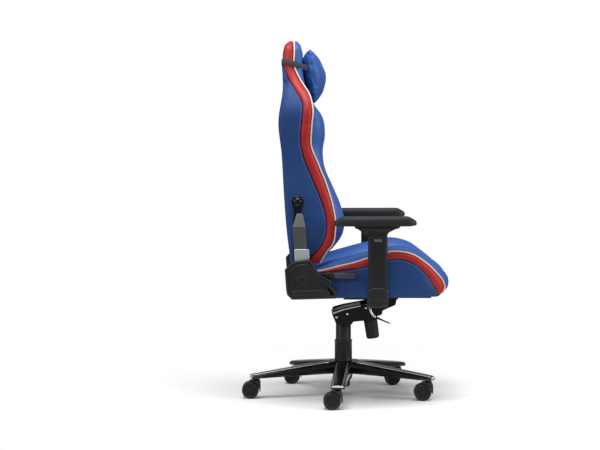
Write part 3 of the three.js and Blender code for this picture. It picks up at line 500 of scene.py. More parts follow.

# %% [markdown]
# Plastic parts of a chair come out of spark-eroded moulds, so they carry a very fine, even
# texture and a satin gloss. Their edges are made lighter where the mesh's own pointiness finds
# them: partly the polish that hands and clothes leave there first, partly a painted highlight
# along every edge. Painted and plated metal is smoother, and its gloss changes slowly from
# place to place.

# %% Plastics, paint and plate
def moulding(name, colour, edge_wear_and_highlight, smooth=0.36, matt=0.52, texture=0.05, scale=1500.0):
    material, tree, shader = new_material(name)
    edges = node(tree, "NewGeometry").outputs["Pointiness"]
    flow = noise(tree, 11.0).outputs["Fac"]
    base = ramp(tree, flow, tuple(0.8 * c for c in colour), colour)
    # Convex edges lightened by pointiness: partly rubbed wear, partly a painted edge highlight.
    wear_and_edge_highlight = ramp(tree, edges, (0, 0, 0), edge_wear_and_highlight, 0.5, 0.62)
    lighter = tree.nodes.new("ShaderNodeMix")
    lighter.data_type = "RGBA"
    lighter.blend_type = "ADD"
    lighter.inputs[0].default_value = 1.0
    tree.links.new(base, lighter.inputs[6])
    tree.links.new(wear_and_edge_highlight, lighter.inputs[7])
    grain = noise(tree, scale, 2.0).outputs["Fac"]
    connect(tree, shader, Base_Color=lighter.outputs[2],
            Roughness=spread(tree, noise(tree, 24.0, 5.0).outputs["Fac"], smooth, matt),
            Normal=bump(tree, grain, texture, 0.7))
    shader.inputs["Specular IOR Level"].default_value = 0.24
    return material


def metal(name, colour, smooth, matt, metallic=1.0, coat=0.0, stretch=(1, 1, 1), grain=0.02):
    material, tree, shader = new_material(name)
    cast = noise(tree, 14.0, 4.0).outputs["Fac"]
    drawn_lines = noise(tree, 320.0, 3.0, stretched(tree, stretch)).outputs["Fac"]
    connect(tree, shader, Base_Color=ramp(tree, cast, tuple(0.86 * c for c in colour), colour),
            Roughness=spread(tree, drawn_lines, smooth, matt),
            Normal=bump(tree, drawn_lines, grain, 0.5))
    shader.inputs["Metallic"].default_value = metallic
    shader.inputs["Specular IOR Level"].default_value = 0.24
    shader.inputs["Coat Weight"].default_value = coat
    shader.inputs["Coat Roughness"].default_value = 0.08
    return material


black_plastic = moulding("black_plastic", (0.0085, 0.0085, 0.010), (0.03, 0.03, 0.032))
grey_plastic = moulding("grey_plastic", (0.050, 0.050, 0.053), (0.06, 0.06, 0.06))
pale_plastic = moulding("pale_plastic", (0.130, 0.128, 0.130), (0.08, 0.08, 0.08), 0.3, 0.42)
soft_skin = moulding("soft_skin", (0.013, 0.013, 0.014), (0.03, 0.03, 0.03), 0.4, 0.52, 0.12,
                     900.0)
wheel_nylon = moulding("wheel_nylon", (0.004, 0.004, 0.005), (0.03, 0.03, 0.032), 0.3, 0.45)
steel_paint = metal("steel_paint", (0.004, 0.004, 0.005), 0.34, 0.44, 0.0)
gloss_paint = metal("gloss_paint", (0.003, 0.003, 0.004), 0.2, 0.3, 0.0, 0.35)
bright_plate = metal("bright_plate", (0.62, 0.62, 0.64), 0.16, 0.26, stretch=(1, 1, 8))
satin_plate = metal("satin_plate", (0.80, 0.80, 0.83), 0.3, 0.42, stretch=(6, 1, 1))
print("plastics, paints and plates")

# %% [markdown]
# Two woven things are left: the elastic strap that holds the head pillow, and the thin black
# cloth that closes the seat from below. Both are two sets of threads at a right angle, so two
# bands of waves, crossed, give the height of the weave.

# %% Webbing, cloth and thread
def woven(name, colour, deep, pitch, height=0.25):
    """A weave of threads pitch millimetres apart."""
    material, tree, shader = new_material(name)
    scale = 2 * math.pi / (20 * pitch * MM)
    where = node(tree, "TexCoord").outputs["Object"]
    bands = [node(tree, "TexWave", {"Vector": where, "Scale": scale, "Distortion": 0.4,
                                    "Detail": 1.0}, bands_direction=way).outputs["Fac"]
             for way in ("X", "Z")]
    crossed = node(tree, "Math", {0: bands[0], 1: bands[1]}, operation="MULTIPLY")
    fuzz = noise(tree, 40.0, 6.0).outputs["Fac"]
    connect(tree, shader, Base_Color=ramp(tree, crossed.outputs[0], deep, colour, 0.0, 0.8),
            Roughness=spread(tree, fuzz, 0.75, 0.95),
            Normal=bump(tree, crossed.outputs[0], height, 0.8))
    return material


elastic = woven("elastic_webbing", (0.085, 0.085, 0.092), (0.03, 0.03, 0.034), 1.3)
seat_cloth = woven("underside_cloth", (0.014, 0.014, 0.016), (0.006, 0.006, 0.007), 1.0)
# The pale thread is partly painted highlight along the seams it is sewn beside.
thread = woven("pale_thread_and_seam_highlight", (0.42, 0.50, 0.72), (0.20, 0.26, 0.46), 0.7, 0.1)
print("webbing, cloth and thread")

# %% [markdown]
# ## The backrest's lines
# A racing backrest is best drawn as a few lines that run from its foot to the top of the
# headrest. Seen from the side they are the rear face, the edge of the red stripe, the piping,
# the crest of the side wing and the hollow middle. Each line gives a place in front of or
# behind the gas lift against the share of the height, and one more gives the half-width, which
# swells at the shoulders and draws in towards the head.

# %% Lines of the backrest
SIDES = {"right": -1, "left": 1}
back_low, back_high = (corner[2] for corner in drawn("back_rear_panel"))
RIM_RISE = 4            # the padded rim stands this far above the shell
back_high += RIM_RISE

back_rear = curve_through([(0, -189), (0.15, -203), (0.33, -213), (0.49, -220), (0.63, -231),
                           (0.78, -216), (0.915, -217), (0.965, -213), (0.988, -206),
                           (1, -194)])
stripe_edge = curve_through([(0, -129), (0.03, -115), (0.06, -94), (0.093, -77), (0.13, -67),
                             (0.174, -64), (0.215, -67), (0.287, -84), (0.377, -113),
                             (0.475, -143), (0.555, -155), (0.645, -149), (0.721, -149),
                             (0.779, -173), (0.846, -204), (0.89, -211), (1, -211)])
back_piping = curve_through([(0, -88), (0.045, -68), (0.09, -43), (0.14, -36), (0.19, -35),
                             (0.25, -43), (0.345, -64), (0.444, -94), (0.529, -119),
                             (0.6, -118), (0.7, -114), (0.757, -125), (0.823, -156),
                             (0.886, -177), (0.958, -177), (1, -178)])
back_crest = curve_through([(0, -100), (0.073, -41), (0.12, -15), (0.182, -5), (0.255, -17),
                            (0.338, -43), (0.43, -73), (0.5, -80), (0.583, -73), (0.66, -83),
                            (0.717, -113), (0.8, -140), (0.9, -150), (0.96, -152),
                            (0.985, -158), (1, -169)])
back_middle = curve_through([(0, -118), (0.086, -92), (0.19, -84), (0.3, -98), (0.4, -118),
                             (0.53, -130), (0.66, -138), (0.8, -148), (0.9, -152),
                             (0.97, -157), (1, -171)])
back_half = curve_through([(0, 232), (0.09, 247), (0.2, 250), (0.33, 246), (0.44, 244),
                           (0.53, 252), (0.62, 260), (0.7, 255), (0.76, 224), (0.81, 184),
                           (0.86, 166), (0.93, 157), (0.975, 141), (1, 112)])
MIDDLE_HALF = 138
levels = np.r_[0, 0.0015, np.linspace(0.009, 0.94, 103), np.linspace(0.948, 0.995, 11), 0.9985, 1]


def back_inner(share):
    """Half-width of the middle panel, which narrows with the head."""
    return np.minimum(MIDDLE_HALF, 0.56 * back_half(share))


def back_line(shares, x, y):
    """A line up the backrest: x and y against the share of the height."""
    return np.stack([x, y, back_low + shares * (back_high - back_low)], 1)


print("backrest from", round(back_low), "to", round(back_high), "mm above the floor")

# %% [markdown]
# ## Backrest panels
# The cover's side is two panels: a broad navy one that wraps round to the back, and a red
# stripe, narrow and well filled, that follows the curve of the spine. The stripe takes over
# the whole side at the headrest. In front of the piping a blue wing rises and folds into the
# middle. They could be painted on one mesh, but real seams are grooves between separate
# panels, and light finds those grooves before it finds colour.

# %% Side panels and stripes
def ease(x, start, end):
    """0 before start, 1 after end, and a smooth step between."""
    share = np.clip((x - start) / (end - start), 0, 1)
    return share * share * (3 - 2 * share)


CORNER = 15


def navy_side(side):
    shares = levels[levels < 0.882]
    rear, edge, half = back_rear(shares), stripe_edge(shares), back_half(shares)
    room = np.maximum(edge - rear, 3.0)
    guides = [
        back_line(shares, rear + 0.5, side * (half - CORNER)),
        back_line(shares, rear + np.minimum(3, 0.2 * room), side * (half - 4)),
        back_line(shares, rear + np.minimum(13, 0.5 * room), side * half),
        back_line(shares, rear + 0.6 * room, side * (half + 1.5)),
        back_line(shares, edge, side * half)]
    return guides


def red_side(side):
    rear, edge, half = back_rear(levels), stripe_edge(levels), back_half(levels)
    front = back_piping(levels) - 1.5
    wrap = ease(levels, 0.865, 0.905)
    edge = edge * (1 - wrap) + (rear + 0.5) * wrap
    room = front - edge
    guides = [
        back_line(levels, edge, side * (half - CORNER * wrap)),
        back_line(levels, edge + 0.16 * room, side * (half + 1.2 - 3.5 * wrap)),
        back_line(levels, edge + 0.5 * room, side * (half + 2.0)),
        back_line(levels, front, side * (half - 2.5))]
    return guides


for name, side in SIDES.items():
    sewn_panel(f"back_side_{name}", navy_side(side), (0, side, 0), navy_leather, "backrest",
               crown=4, seam=2.2, depth=8, rows=14, seed=3)
    sewn_panel(f"back_stripe_{name}", red_side(side), (0, side, 0), red_leather, "backrest",
               crown=5, seam=3.5, depth=8, rows=8, lean=-0.15, seed=5)
print("backrest sides and stripes")

# %% [markdown]
# ## Wings, middle and rear cover
# The wings hold the sitter's sides and the middle panel takes the back's weight. Each is a cut
# piece of leather over foam. Each one is its own crowned panel that dips at its seams, because
# one surface for the whole backrest would have no seams to catch the light.

# %% Wings, middle panels and rear cover
def blue_wing(side):
    half, inner = back_half(levels), back_inner(levels)
    piping, crest, middle = back_piping(levels), back_crest(levels), back_middle(levels)
    slope = 0.3 * crest + 0.7 * middle
    return [
        back_line(levels, piping + 1.5, side * (half - 3)),
        back_line(levels, 0.42 * piping + 0.58 * crest + 1, side * (half - 0.07 * half)),
        back_line(levels, crest - 1, side * 0.84 * half),
        back_line(levels, crest - 4, side * 0.74 * half),
        back_line(levels, slope - 1, side * (inner + 0.055 * half)),
        back_line(levels, middle - 6, side * (inner + 1))]


def middle_panel(shares):
    inner, middle = back_inner(shares) - 1, back_middle(shares)
    return [back_line(shares, middle - drop, share * inner)
            for share, drop in ((-1, 6), (-0.7, 1.5), (0, 0), (0.7, 1.5), (1, 6))]


def rear_cover():
    rear, half = back_rear(levels), back_half(levels) - CORNER
    return [back_line(levels, rear + tuck, share * half)
            for share, tuck in ((-1, 1), (-0.6, 0), (0, 0), (0.6, 0), (1, 1))]


for name, side in SIDES.items():
    wing = sewn_panel(f"back_bolster_{name}", blue_wing(side), (1, 0.4 * side, 0),
                      blue_leather, "backrest", crown=3, seam=2.5, depth=9,
                      rows=20, seed=7)
    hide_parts(f"back_wing_{name}")

NECK = 0.765
back_pad = sewn_panel("back_middle_pad", middle_panel(levels[levels < NECK]), (1, 0, 0),
                      blue_leather, "backrest", crown=9, seam=3, depth=10,
                      rows=22, seed=11)
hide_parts("back_cushion")
head_pad = sewn_panel("head_middle_pad", middle_panel(levels[levels > NECK]), (1, 0, 0),
                      blue_leather, "backrest", crown=6, seam=3, depth=8,
                      rows=18, seed=13)
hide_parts("head_section")
rear = sewn_panel("back_rear_cover", rear_cover(), (-1, 0, 0), navy_leather, "backrest",
                  crown=1.2, seam=1.6, depth=7, rows=24, seed=17)
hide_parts("back_rear_panel")
print("wings, middle and rear cover")

# %% [markdown]
# ## Inside the backrest
# Panels alone would be a hollow shell, and a seam would let light through. The real backrest
# is a block of cold-cured foam moulded round a steel frame, so a core fills the shell a
# little way behind the leather.

# %% Foam core and piping
def back_core():
    shares = np.linspace(0.004, 0.985, 60)
    rings = []
    for share in shares:
        rear, piping, crest, middle, half = (
            float(f(share)[0]) for f in (back_rear, back_piping, back_crest, back_middle,
                                         back_half))
        inner = min(MIDDLE_HALF, 0.56 * half)
        front = max(middle - 9, rear + 9)
        right = [(rear + 6, 0.0), (rear + 6, half - 22), (rear + 16, half - 8),
                 (max(piping - 9, rear + 18), half - 8),
                 (max(crest - 12, rear + 12), 0.8 * half), (front, inner)]
        ring = [(x, -y) for x, y in right] + [(x, y) for x, y in right[::-1]][:-1]
        z = back_low + share * (back_high - back_low)
        rings.append([(x, y, z) for x, y in ring])
    return rings


core = loft("back_foam_core", back_core(), seat_cloth, "backrest", smooth=50)

for name, side in SIDES.items():
    line = back_line(levels, back_piping(levels) + 1.0, side * (back_half(levels) - 1.5))
    cord = sweep(f"back_piping_{name}", line, 2.6, cream_leather, "backrest", sides=10,
                 up=(1, 0, 0))
print("core and piping")

# %% [markdown]
# ## The seat's lines
# The seat is drawn the same way, but its lines run from the back of the cushion forward, over
# the thigh bolster and down round the nose. Seen from above the seat is widest at the hips and
# rounds in towards the front.

# %% Lines of the seat
seat_under = drawn("seat_cushion")[0][2]
seat_half = curve_through([(-130, 243), (-95, 246), (-60, 250), (0, 255), (80, 261), (200, 262),
                           (280, 249), (330, 225), (366, 194)])
SEAM_SHARE = 0.545      # where the bolsters are sewn to the middle panel, as a share of the half-width
seat_middle_line = [(-118, 470), (0, 480), (110, 493), (200, 503), (270, 499), (318, 480),
                    (346, 453), (356, 426), (350, 404), (338, seat_under)]
seat_crest_line = [(-112, 474), (-88, 481), (-60, 494), (0, 512), (100, 537), (182, 551),
                   (240, 539), (295, 503), (335, 468), (358, 436), (356, 408), (340, seat_under)]
seat_piping_line = [(-112, 463), (-75, 470), (-19, 485), (30, 497), (90, 517), (175, 536), (228, 526),
                    (276, 496), (314, 460), (339, 428), (345, 405), (336, 388)]
seat_stripe_line = [(-112, 457), (-75, 462), (-19, 468), (43, 478), (77, 487), (145, 507), (193, 509),
                    (235, 494), (272, 463), (300, 422), (312, 401), (319, 386)]
seat_foot_line = [(-112, 372.5), (319, 377.5)]
SEAT_STEPS = 100


def seat_line(line, y, inward=0.0):
    """A line along the seat; y is a side times a share of the half-width, less a margin."""
    if len(line) == 2:
        flat = np.linspace(line[0], line[1], SEAT_STEPS)
    else:
        flat = line_through(line, SEAT_STEPS)
    return np.stack([flat[:, 0], y(flat[:, 0]) - np.sign(y(flat[:, 0])) * inward,
                     flat[:, 1]], 1)


def mixed(line_a, line_b, share):
    """A side view between two others, point by point."""
    a, b = line_through(line_a, 24), line_through(line_b, 24)
    return a * (1 - share) + b * share


print("seat from", seat_crest_line[0], "to nose", max(seat_crest_line))

# %% [markdown]
# ## Seat panels
# Each side of the seat is a navy panel below, the red stripe that crosses it in a long wave,
# and a blue bolster on top. Between the bolsters lies the one panel that is sat on, so it is
# the softest: it is blown up by a cloth simulation further down.

# %% Seat sides, stripes, bolsters and piping
for name, side in SIDES.items():
    wide = lambda x, side=side: side * seat_half(x)
    low = lambda x, side=side: side * (seat_half(x) - 2.5)
    sewn_panel(f"seat_side_{name}",
               [seat_line(seat_stripe_line, wide, -1.0),
                seat_line(mixed(seat_stripe_line, seat_foot_line, 0.5), wide, -1.5),
                seat_line(seat_foot_line, low)],
               (0, side, 0), navy_leather, "seat", crown=3.0, seam=2.2,
               depth=3.2, rows=14, seed=19)
    sewn_panel(f"seat_stripe_{name}",
               [seat_line(seat_piping_line, wide, 2.0),
                seat_line(mixed(seat_piping_line, seat_stripe_line, 0.5), wide, -2.5),
                seat_line(seat_stripe_line, wide, -0.5)],
               (0, side, 0.3), red_leather, "seat", crown=4.5, seam=3.0,
               depth=8, rows=8, seed=23)
    rows = [(seat_piping_line, lambda x: side * (seat_half(x) - 3), 0.0),
            (mixed(seat_piping_line, seat_crest_line, 0.8),
             lambda x: side * 0.935 * seat_half(x), 0.0),
            (seat_crest_line, lambda x: side * 0.82 * seat_half(x), 0.0),
            (mixed(seat_crest_line, seat_middle_line, 0.35),
             lambda x: side * 0.68 * seat_half(x), 0.0),
            (seat_middle_line, lambda x: side * SEAM_SHARE * seat_half(x), 0.0)]
    bolster = sewn_panel(f"seat_cushion_bolster_{name}",
                         [seat_line(line, y, inward) for line, y, inward in rows],
                         (0.3, 0, 1), blue_leather, "seat", crown=3,
                         seam=3, depth=9, rows=22, seed=29)
    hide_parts(f"seat_bolster_{name}")
    cord_line = seat_line(seat_piping_line, wide, 0.5) + np.array([0.3, 0, 1.2])
    cord = sweep(f"seat_piping_{name}", cord_line, 2.6, cream_leather, "seat", sides=10,
                 up=(0.4, 1, 0))
print("seat sides")

# %% [markdown]
# ## Seat middle and what lies under it
# The middle panel is sewn between the bolsters. Under the leather is one block of foam, and thin
# black cloth closes the underside. A block a little inside the leather does for the foam, since
# only its edges can be seen between the panels.

# %% Seat middle, foam and underside cloth
def seat_middle(share):
    return lambda x: share * (SEAM_SHARE * seat_half(x) - 1.5)


seat_pad_guides = [seat_line(seat_middle_line, seat_middle(share)) - np.array([0, 0, drop])
                   for share, drop in ((-1, 3), (-0.6, 0), (0, 0), (0.6, 0), (1, 3))]
seat_pad = sewn_panel("seat_middle_pad", seat_pad_guides, (0.3, 0, 1), blue_leather, "seat",
                      crown=8, seam=3, depth=12, rows=26, seed=31)
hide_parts("seat_cushion")


def seat_core():
    """A block a little inside the leather, ring by ring from the back to the nose."""
    rings = []
    for x in np.linspace(-112, 332, 40):
        half = float(seat_half(x)[0])
        tops = []
        for line, share in ((seat_middle_line, 0.0), (seat_middle_line, 0.52),
                            (seat_crest_line, 0.8), (seat_piping_line, 0.955)):
            ahead = line_through(line, 60)
            ahead = ahead[:int(np.argmax(ahead[:, 0])) + 1]
            z = np.interp(max(x, ahead[0, 0]), ahead[:, 0], ahead[:, 1])
            tops.append((share * half, max(z - 14, seat_under + 3)))
        tops.append((0.955 * half, seat_under + 1.5))
        right = [(x, -y, z) for y, z in tops]
        rings.append(right + [(x, -y, z) for x, y, z in right[::-1]][:-1])
    return rings


foam = loft("seat_foam_core", seat_core(), seat_cloth, "seat", smooth=50)
print("seat middle and foam")


def underside():
    """The pan's outline from above, gathered along its edge as an elastic hem does."""
    pan_low, pan_high = drawn("seat_pan")
    stations = np.r_[np.linspace(pan_low[0] + 2, -40, 8), np.linspace(-28, 322, 60)]
    half = np.array([float(seat_half(x)[0]) - 7 for x in stations])
    half = np.where(stations < -30, np.minimum(half, 243), half)
    nose = [(pan_high[0] + 2, half[-1] * s) for s in (-0.8, -0.4, 0, 0.4, 0.8)]
    rim = ([(x, -h) for x, h in zip(stations, half)] + nose
           + [(x, h) for x, h in zip(stations[::-1], half[::-1])])
    rim = np.array(rim)
    reach = lengths_along(rim)
    gather = 1.1 * np.sin(2 * np.pi * reach / 13) + 0.8 * np.sin(2 * np.pi * reach / 31)
    centre = np.array([100.0, 0.0])
    rings = []
    for shrink, z in ((0.93, pan_low[2] + 0.2), (0.985, pan_low[2] + 0.8),
                      (0.998, pan_low[2] + 5), (0.998, pan_high[2] - 2), (0.985, pan_high[2])):
        flat = centre + (rim - centre) * shrink
        wave = gather * (1 if 0.98 < shrink else 0.3)
        away = (rim - centre) / np.linalg.norm(rim - centre, axis=1, keepdims=True)
        flat = flat + away * wave[:, None] * 0.8
        rings.append(np.c_[flat, np.full(len(rim), z)])
    return rings


cloth_pan = loft("seat_underside_cloth", underside(), seat_cloth, "seat", smooth=70)
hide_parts("seat_pan")
print("underside cloth")

# %% [markdown]
# ## Blowing up the soft pieces
# Foam under leather is never as even as a drawn surface. A cloth simulation finds the small
# folds by itself: the cover is blown up by air for a second, its sewn edges are held, and no
# point may travel further than the cover would really give. The result is written back to the
# mesh, so nothing is simulated when the chair moves.

# %% Cloth under pressure
def inflate(made, held, pressure=4.0, travel=22.0, frames=20, slack=0.0):
    """Blows a closed piece up with its held points pinned, and keeps the result."""
    scene, mesh = bpy.context.scene, made.data
    rounding = [(m.name, m.levels) for m in made.modifiers if m.type == "SUBSURF"]
    made.modifiers.clear()
    before = np.array([v.co for v in mesh.vertices])
    pins = made.vertex_groups.new(name="sewn")
    pins.add([int(i) for i in held], 1.0, "REPLACE")
    cloth = made.modifiers.new("cover", "CLOTH")
    cloth.settings.use_pressure = True
    cloth.settings.uniform_pressure_force = pressure
    cloth.settings.effector_weights.gravity = 0
    cloth.settings.vertex_group_mass = "sewn"
    cloth.settings.shrink_min = -slack
    cloth.settings.quality = 6
    cloth.collision_settings.use_collision = False
    cloth.point_cache.frame_start, cloth.point_cache.frame_end = 1, frames
    for frame_number in range(1, frames + 1):
        scene.frame_set(frame_number)
    blown = made.evaluated_get(bpy.context.evaluated_depsgraph_get())
    after = np.array([v.co for v in blown.data.vertices])
    scene.frame_set(1)
    made.modifiers.clear()
    move = after - before
    far = np.linalg.norm(move, axis=1, keepdims=True)
    cap = travel * MM
    move *= np.where(far > cap, cap / np.maximum(far, 1e-9), 1)
    mesh.vertices.foreach_set("co", (before + move).ravel())
    made.vertex_groups.clear()
    mesh.update()
    for name, level in rounding:
        again = made.modifiers.new(name, "SUBSURF")
        again.levels = again.render_levels = level
    print(made.name, "blown up by at most", round(float(far.max()) * 1000, 1), "mm")
    return made


# %% [markdown]
# ## Pads that are leant and sat on
# These two are the softest, so the cover is a little loose over the foam. Moving their points by
# a formula would swell them evenly. A cloth simulation held at the seams lets the cover settle as
# sewn cloth does, and it is kept short so that the outline stays where it was drawn.

# %% The two pads that are leant and sat on
for pad, kept in ((seat_pad, 0.86), (back_pad, 0.90)):
    points = np.array([v.co for v in pad.data.vertices])
    low, high = points.min(0), points.max(0)
    outer = (points - (low + high) / 2) / ((high - low) / 2)
    along = 0 if pad is seat_pad else 2
    edge = np.maximum(np.abs(outer[:, 1]), np.abs(outer[:, along])) > kept
    inflate(pad, np.flatnonzero(edge), pressure=1.6, travel=7.0, frames=14)

# %% [markdown]
# ## Stitching
# A cover is sewn with a thick pale thread, and a second row of stitches a few millimetres
# beside the seam holds the seam's turned-in edge flat. The thread's pale colour is also a
# painted highlight: it draws the light line that the rolled edge of the navy panel catches
# beside the red stripe. Each stitch is a short, rounded piece of thread that dips into the
# leather at both ends, laid on the panel that carries it.

# %% Rows of stitches
def stitches(name, line, panel, side, body, pitch=6.4, long=4.4, thick=0.55):
    """Stitches on a side panel, along a line that is dropped onto the leather from outside."""
    graph = bpy.context.evaluated_depsgraph_get()
    seen = panel.evaluated_get(graph)
    reach = lengths_along(line)
    points, faces = [], []
    turn = np.linspace(0, 2 * np.pi, 6, endpoint=False)
    for start in np.arange(8, reach[-1] - 8, pitch):
        ends = []
        for at in np.linspace(start, start + long, 4):
            flat = [np.interp(at, reach, line[:, k]) for k in range(3)]
            origin = place([[flat[0], side * 420, flat[2]]])[0]
            hit, where, _, _ = seen.ray_cast(Vector(origin), Vector((0, -side, 0)))
            if hit:
                ends.append((np.array(where) - lift_axis) / MM)
        if len(ends) < 4:
            continue
        ends = np.array(ends)
        ahead = (ends[-1] - ends[0]) / np.linalg.norm(ends[-1] - ends[0])
        across = np.cross(ahead, (0, 1, 0))
        first = len(points)
        for point, size in zip(ends, (0.35, 1, 1, 0.35)):
            points += [point + (0, side * thick * 0.35, 0) + thick * size
                       * (c * across + s * np.array((0, 1, 0)))
                       for c, s in zip(np.cos(turn), np.sin(turn))]
        faces += [tuple(first + i for i in face) for face in ring_faces(4, 6)]
    made = piece(name, points, faces, thread, body, smooth=60)
    return made


# Pale stitch rows beside the stripe seams: real topstitching, and a painted highlight line along the
# navy panel's rolled edge.
for name, side in SIDES.items():
    back_panel = bpy.data.objects[f"back_side_{name}"]
    row = levels[(levels > 0.04) & (levels < 0.83)]
    back_seam = back_line(row, stripe_edge(row) - 6.0, side * back_half(row))
    stitches(f"back_stitches_{name}", back_seam, back_panel, side, "backrest")
    seat_panel = bpy.data.objects[f"seat_side_{name}"]
    seat_seam = seat_line([(x, z - 6.0) for x, z in seat_stripe_line],
                          lambda x: side * seat_half(x))[4:-6]
    stitches(f"seat_stitches_{name}", seat_seam, seat_panel, side, "seat")
print("stitches")

# %% [markdown]
# ## Head pillow
# The pillow is two leather panels sewn together all round and filled with soft foam. Its seam
# runs round the outside like the rim of a lens, so the pillow is thick in the middle and
# pointed above and below. At both ends the seam gathers the leather into short, deep puckers.

# %% The pillow's two panels
pillow_low, pillow_high = drawn("head_pillow")
pillow_x = pillow_low[0] + 40
pillow_z = (pillow_low[2] + pillow_high[2]) / 2
pillow_half = pillow_high[1]
pillow_front = curve_through([(-91, 1), (-83, 12), (-70, 20), (-28, 35), (2, 38), (45, 22),
                              (66, 12), (82, 1), (91, -13)])
pillow_back = curve_through([(-91, 1), (-83, -5), (-66, -12), (-24, -27), (4, -37), (30, -40),
                             (60, -38), (78, -29), (91, -13)])


def pillow_grid(columns=53, rows=35):
    """Front and back panel points: columns across the head, rows from foot to top."""
    across = np.sin(np.linspace(-1, 1, columns) * np.pi / 2)
    up = np.sin(np.linspace(-1, 1, rows) * np.pi / 2)
    sheets = []
    for edge_line in (pillow_front, pillow_back):
        sheet = np.zeros((columns, rows, 3))
        for i, a in enumerate(across):
            end = 1 - abs(a) ** 3.2
            tall = 91 * (0.80 + 0.20 * (1 - abs(a) ** 7) ** 0.5)
            seam = 1 - 14 * (up + 1) / 2
            full = edge_line(91 * up) - seam
            pucker = 1.6 * np.sin(up * 31 + 2 * np.sign(a)) * np.exp(-(1 - abs(a)) / 0.1)
            thick = full * (0.04 + 0.96 * np.clip(end, 0, 1) ** 0.62)
            side_reach = pillow_half * a * (1 - 0.07 * np.abs(up) ** 4)
            sheet[i] = np.stack([pillow_x + seam + thick + pucker * np.sign(full) * (end < 0.7),
                                 side_reach, pillow_z + tall * up], 1)
        sheets.append(sheet)
    return sheets


def pillow():
    front, back = pillow_grid()
    columns, rows, _ = front.shape
    seam_ring = ([(i, 0) for i in range(columns)] + [(columns - 1, j) for j in range(1, rows)]
                 + [(i, rows - 1) for i in range(columns - 2, -1, -1)]
                 + [(0, j) for j in range(rows - 2, 0, -1)])
    for i, j in seam_ring:
        front[i, j] = back[i, j] = (front[i, j] + back[i, j]) / 2
    index = np.arange(columns * rows).reshape(columns, rows)
    other = index + columns * rows
    for i, j in seam_ring:
        other[i, j] = index[i, j]
    faces = []
    for table, turn in ((index, 1), (other, -1)):
        for i in range(columns - 1):
            for j in range(rows - 1):
                face = (table[i, j], table[i + 1, j], table[i + 1, j + 1], table[i, j + 1])
                faces.append(tuple(int(v) for v in face[::turn]))
    made = piece("pillow", np.concatenate([front.reshape(-1, 3), back.reshape(-1, 3)]), faces,
                 blue_leather, "pillow", smooth=180, subdivide=1)
    shape = bmesh.new()
    shape.from_mesh(made.data)
    loose = [v for v in shape.verts if not v.link_faces]
    bmesh.ops.delete(shape, geom=loose, context="VERTS")
    shape.to_mesh(made.data)
    shape.free()
    return made, front, seam_ring


head_pillow, front_sheet, seam_ring = pillow()
rim = place([front_sheet[i, j] for i, j in seam_ring])
spots = np.array([v.co for v in head_pillow.data.vertices])
on_rim = [i for i, p in enumerate(spots) if np.abs(rim - p).sum(1).min() < 1e-6]
inflate(head_pillow, on_rim[::3], pressure=3.0, travel=6.0, slack=0.06)
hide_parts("head_pillow")
print("pillow", len(spots), "points")

# %% [markdown]
# The pillow hangs on one elastic strap. It leaves the gathered ends of the pillow, lies flat
# round both sides of the headrest and crosses its back, where it sits a little higher.

# %% Pillow strap
def ribbon(name, line, width, thickness, material, body=None, up=(0, 0, 1), **look):
    """A flat band with soft edges, carried along a line."""
    line = np.asarray(line, float)
    along = np.gradient(line, axis=0)
    along /= np.linalg.norm(along, axis=1, keepdims=True)
    out = np.cross(along, np.array(up, float))
    out /= np.linalg.norm(out, axis=1, keepdims=True)
    over = np.cross(out, along)
    section = [(-0.5, -0.3), (-0.47, -0.5), (0.47, -0.5), (0.5, -0.3), (0.5, 0.3), (0.47, 0.5),
               (-0.47, 0.5), (-0.5, 0.3)]
    rings = [[p + over[i] * width * a + out[i] * thickness * b for a, b in section]
             for i, p in enumerate(line)]
    return loft(name, rings, material, body, smooth=50, **look)


def strap_line():
    rear = float(back_rear(0.905)[0]) - 2.4
    half = float(back_half(0.905)[0]) + 7.4
    ends = [(-128, pillow_half - 3, 1168), (-134, pillow_half + 3, 1169),
            (-150, pillow_half + 14, 1173), (-166, half - 8, 1178), (-180, half - 1, 1182),
            (-198, half, 1185), (rear + 12, half - 1, 1187), (rear + 4.5, half - 5, 1187.5),
            (rear + 0.8, half - 14, 1188), (rear, half - 30, 1188)]
    return line_through([(x, -y, z) for x, y, z in ends] + [(rear, -60, 1188), (rear, 60, 1188)]
                        + ends[::-1], 90)


STRAP_WIDTH, STRAP_THICKNESS = 19, 1.8
strap_path = strap_line()
strap = ribbon("pillow_strap", strap_path, STRAP_WIDTH, STRAP_THICKNESS, elastic, "pillow")
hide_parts("head_strap")
strap_length = np.linalg.norm(np.diff(strap_path, axis=0), axis=1).sum()
print("strap", round(float(strap_length)), "mm long and", STRAP_WIDTH, "mm wide")

# %% [markdown]
# ## Joining small shapes into one piece
# A caster hood or a recliner cover is one moulding, although it is easiest to draw as a few
# shapes. `join` takes the finished meshes, bevels included, and keeps them as one piece.

# %% One piece from several shapes
def join(name, parts, body=None):
    """One mesh object from several, with their modifiers applied and their materials kept."""
    bpy.context.view_layer.update()
    graph = bpy.context.evaluated_depsgraph_get()
    together, materials = bmesh.new(), []
    for part in parts:
        mesh = bpy.data.meshes.new_from_object(part.evaluated_get(graph))
        mesh.transform(part.matrix_world)
        first = len(together.faces)
        together.from_mesh(mesh)
        together.faces.ensure_lookup_table()
        material = part.data.materials[0]
        if material not in materials:
            materials.append(material)
        for face in together.faces[first:]:
            face.material_index = materials.index(material)
        bpy.data.meshes.remove(mesh)
        bpy.data.objects.remove(part)
    joined = bpy.data.meshes.new(name)
    together.to_mesh(joined)
    together.free()
    for material in materials:
        joined.materials.append(material)
    made = bpy.data.objects.new(name, joined)
    bpy.context.scene.collection.objects.link(made)
    if body:
        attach(made, body)
    return made


# %% [markdown]
# ## Casters
# Each caster has two nylon wheels on one axle, and a hood that swivels on its stem. The
# wheel's outer face is dished and has a ring of small pockets that save nylon; a polar grid
# with a height for every angle gives that face in one piece. The wheels are a smooth round
# here, although the CAD ones are faceted and stand on a small flat.

# %% Wheel and hood
POCKETS = 6


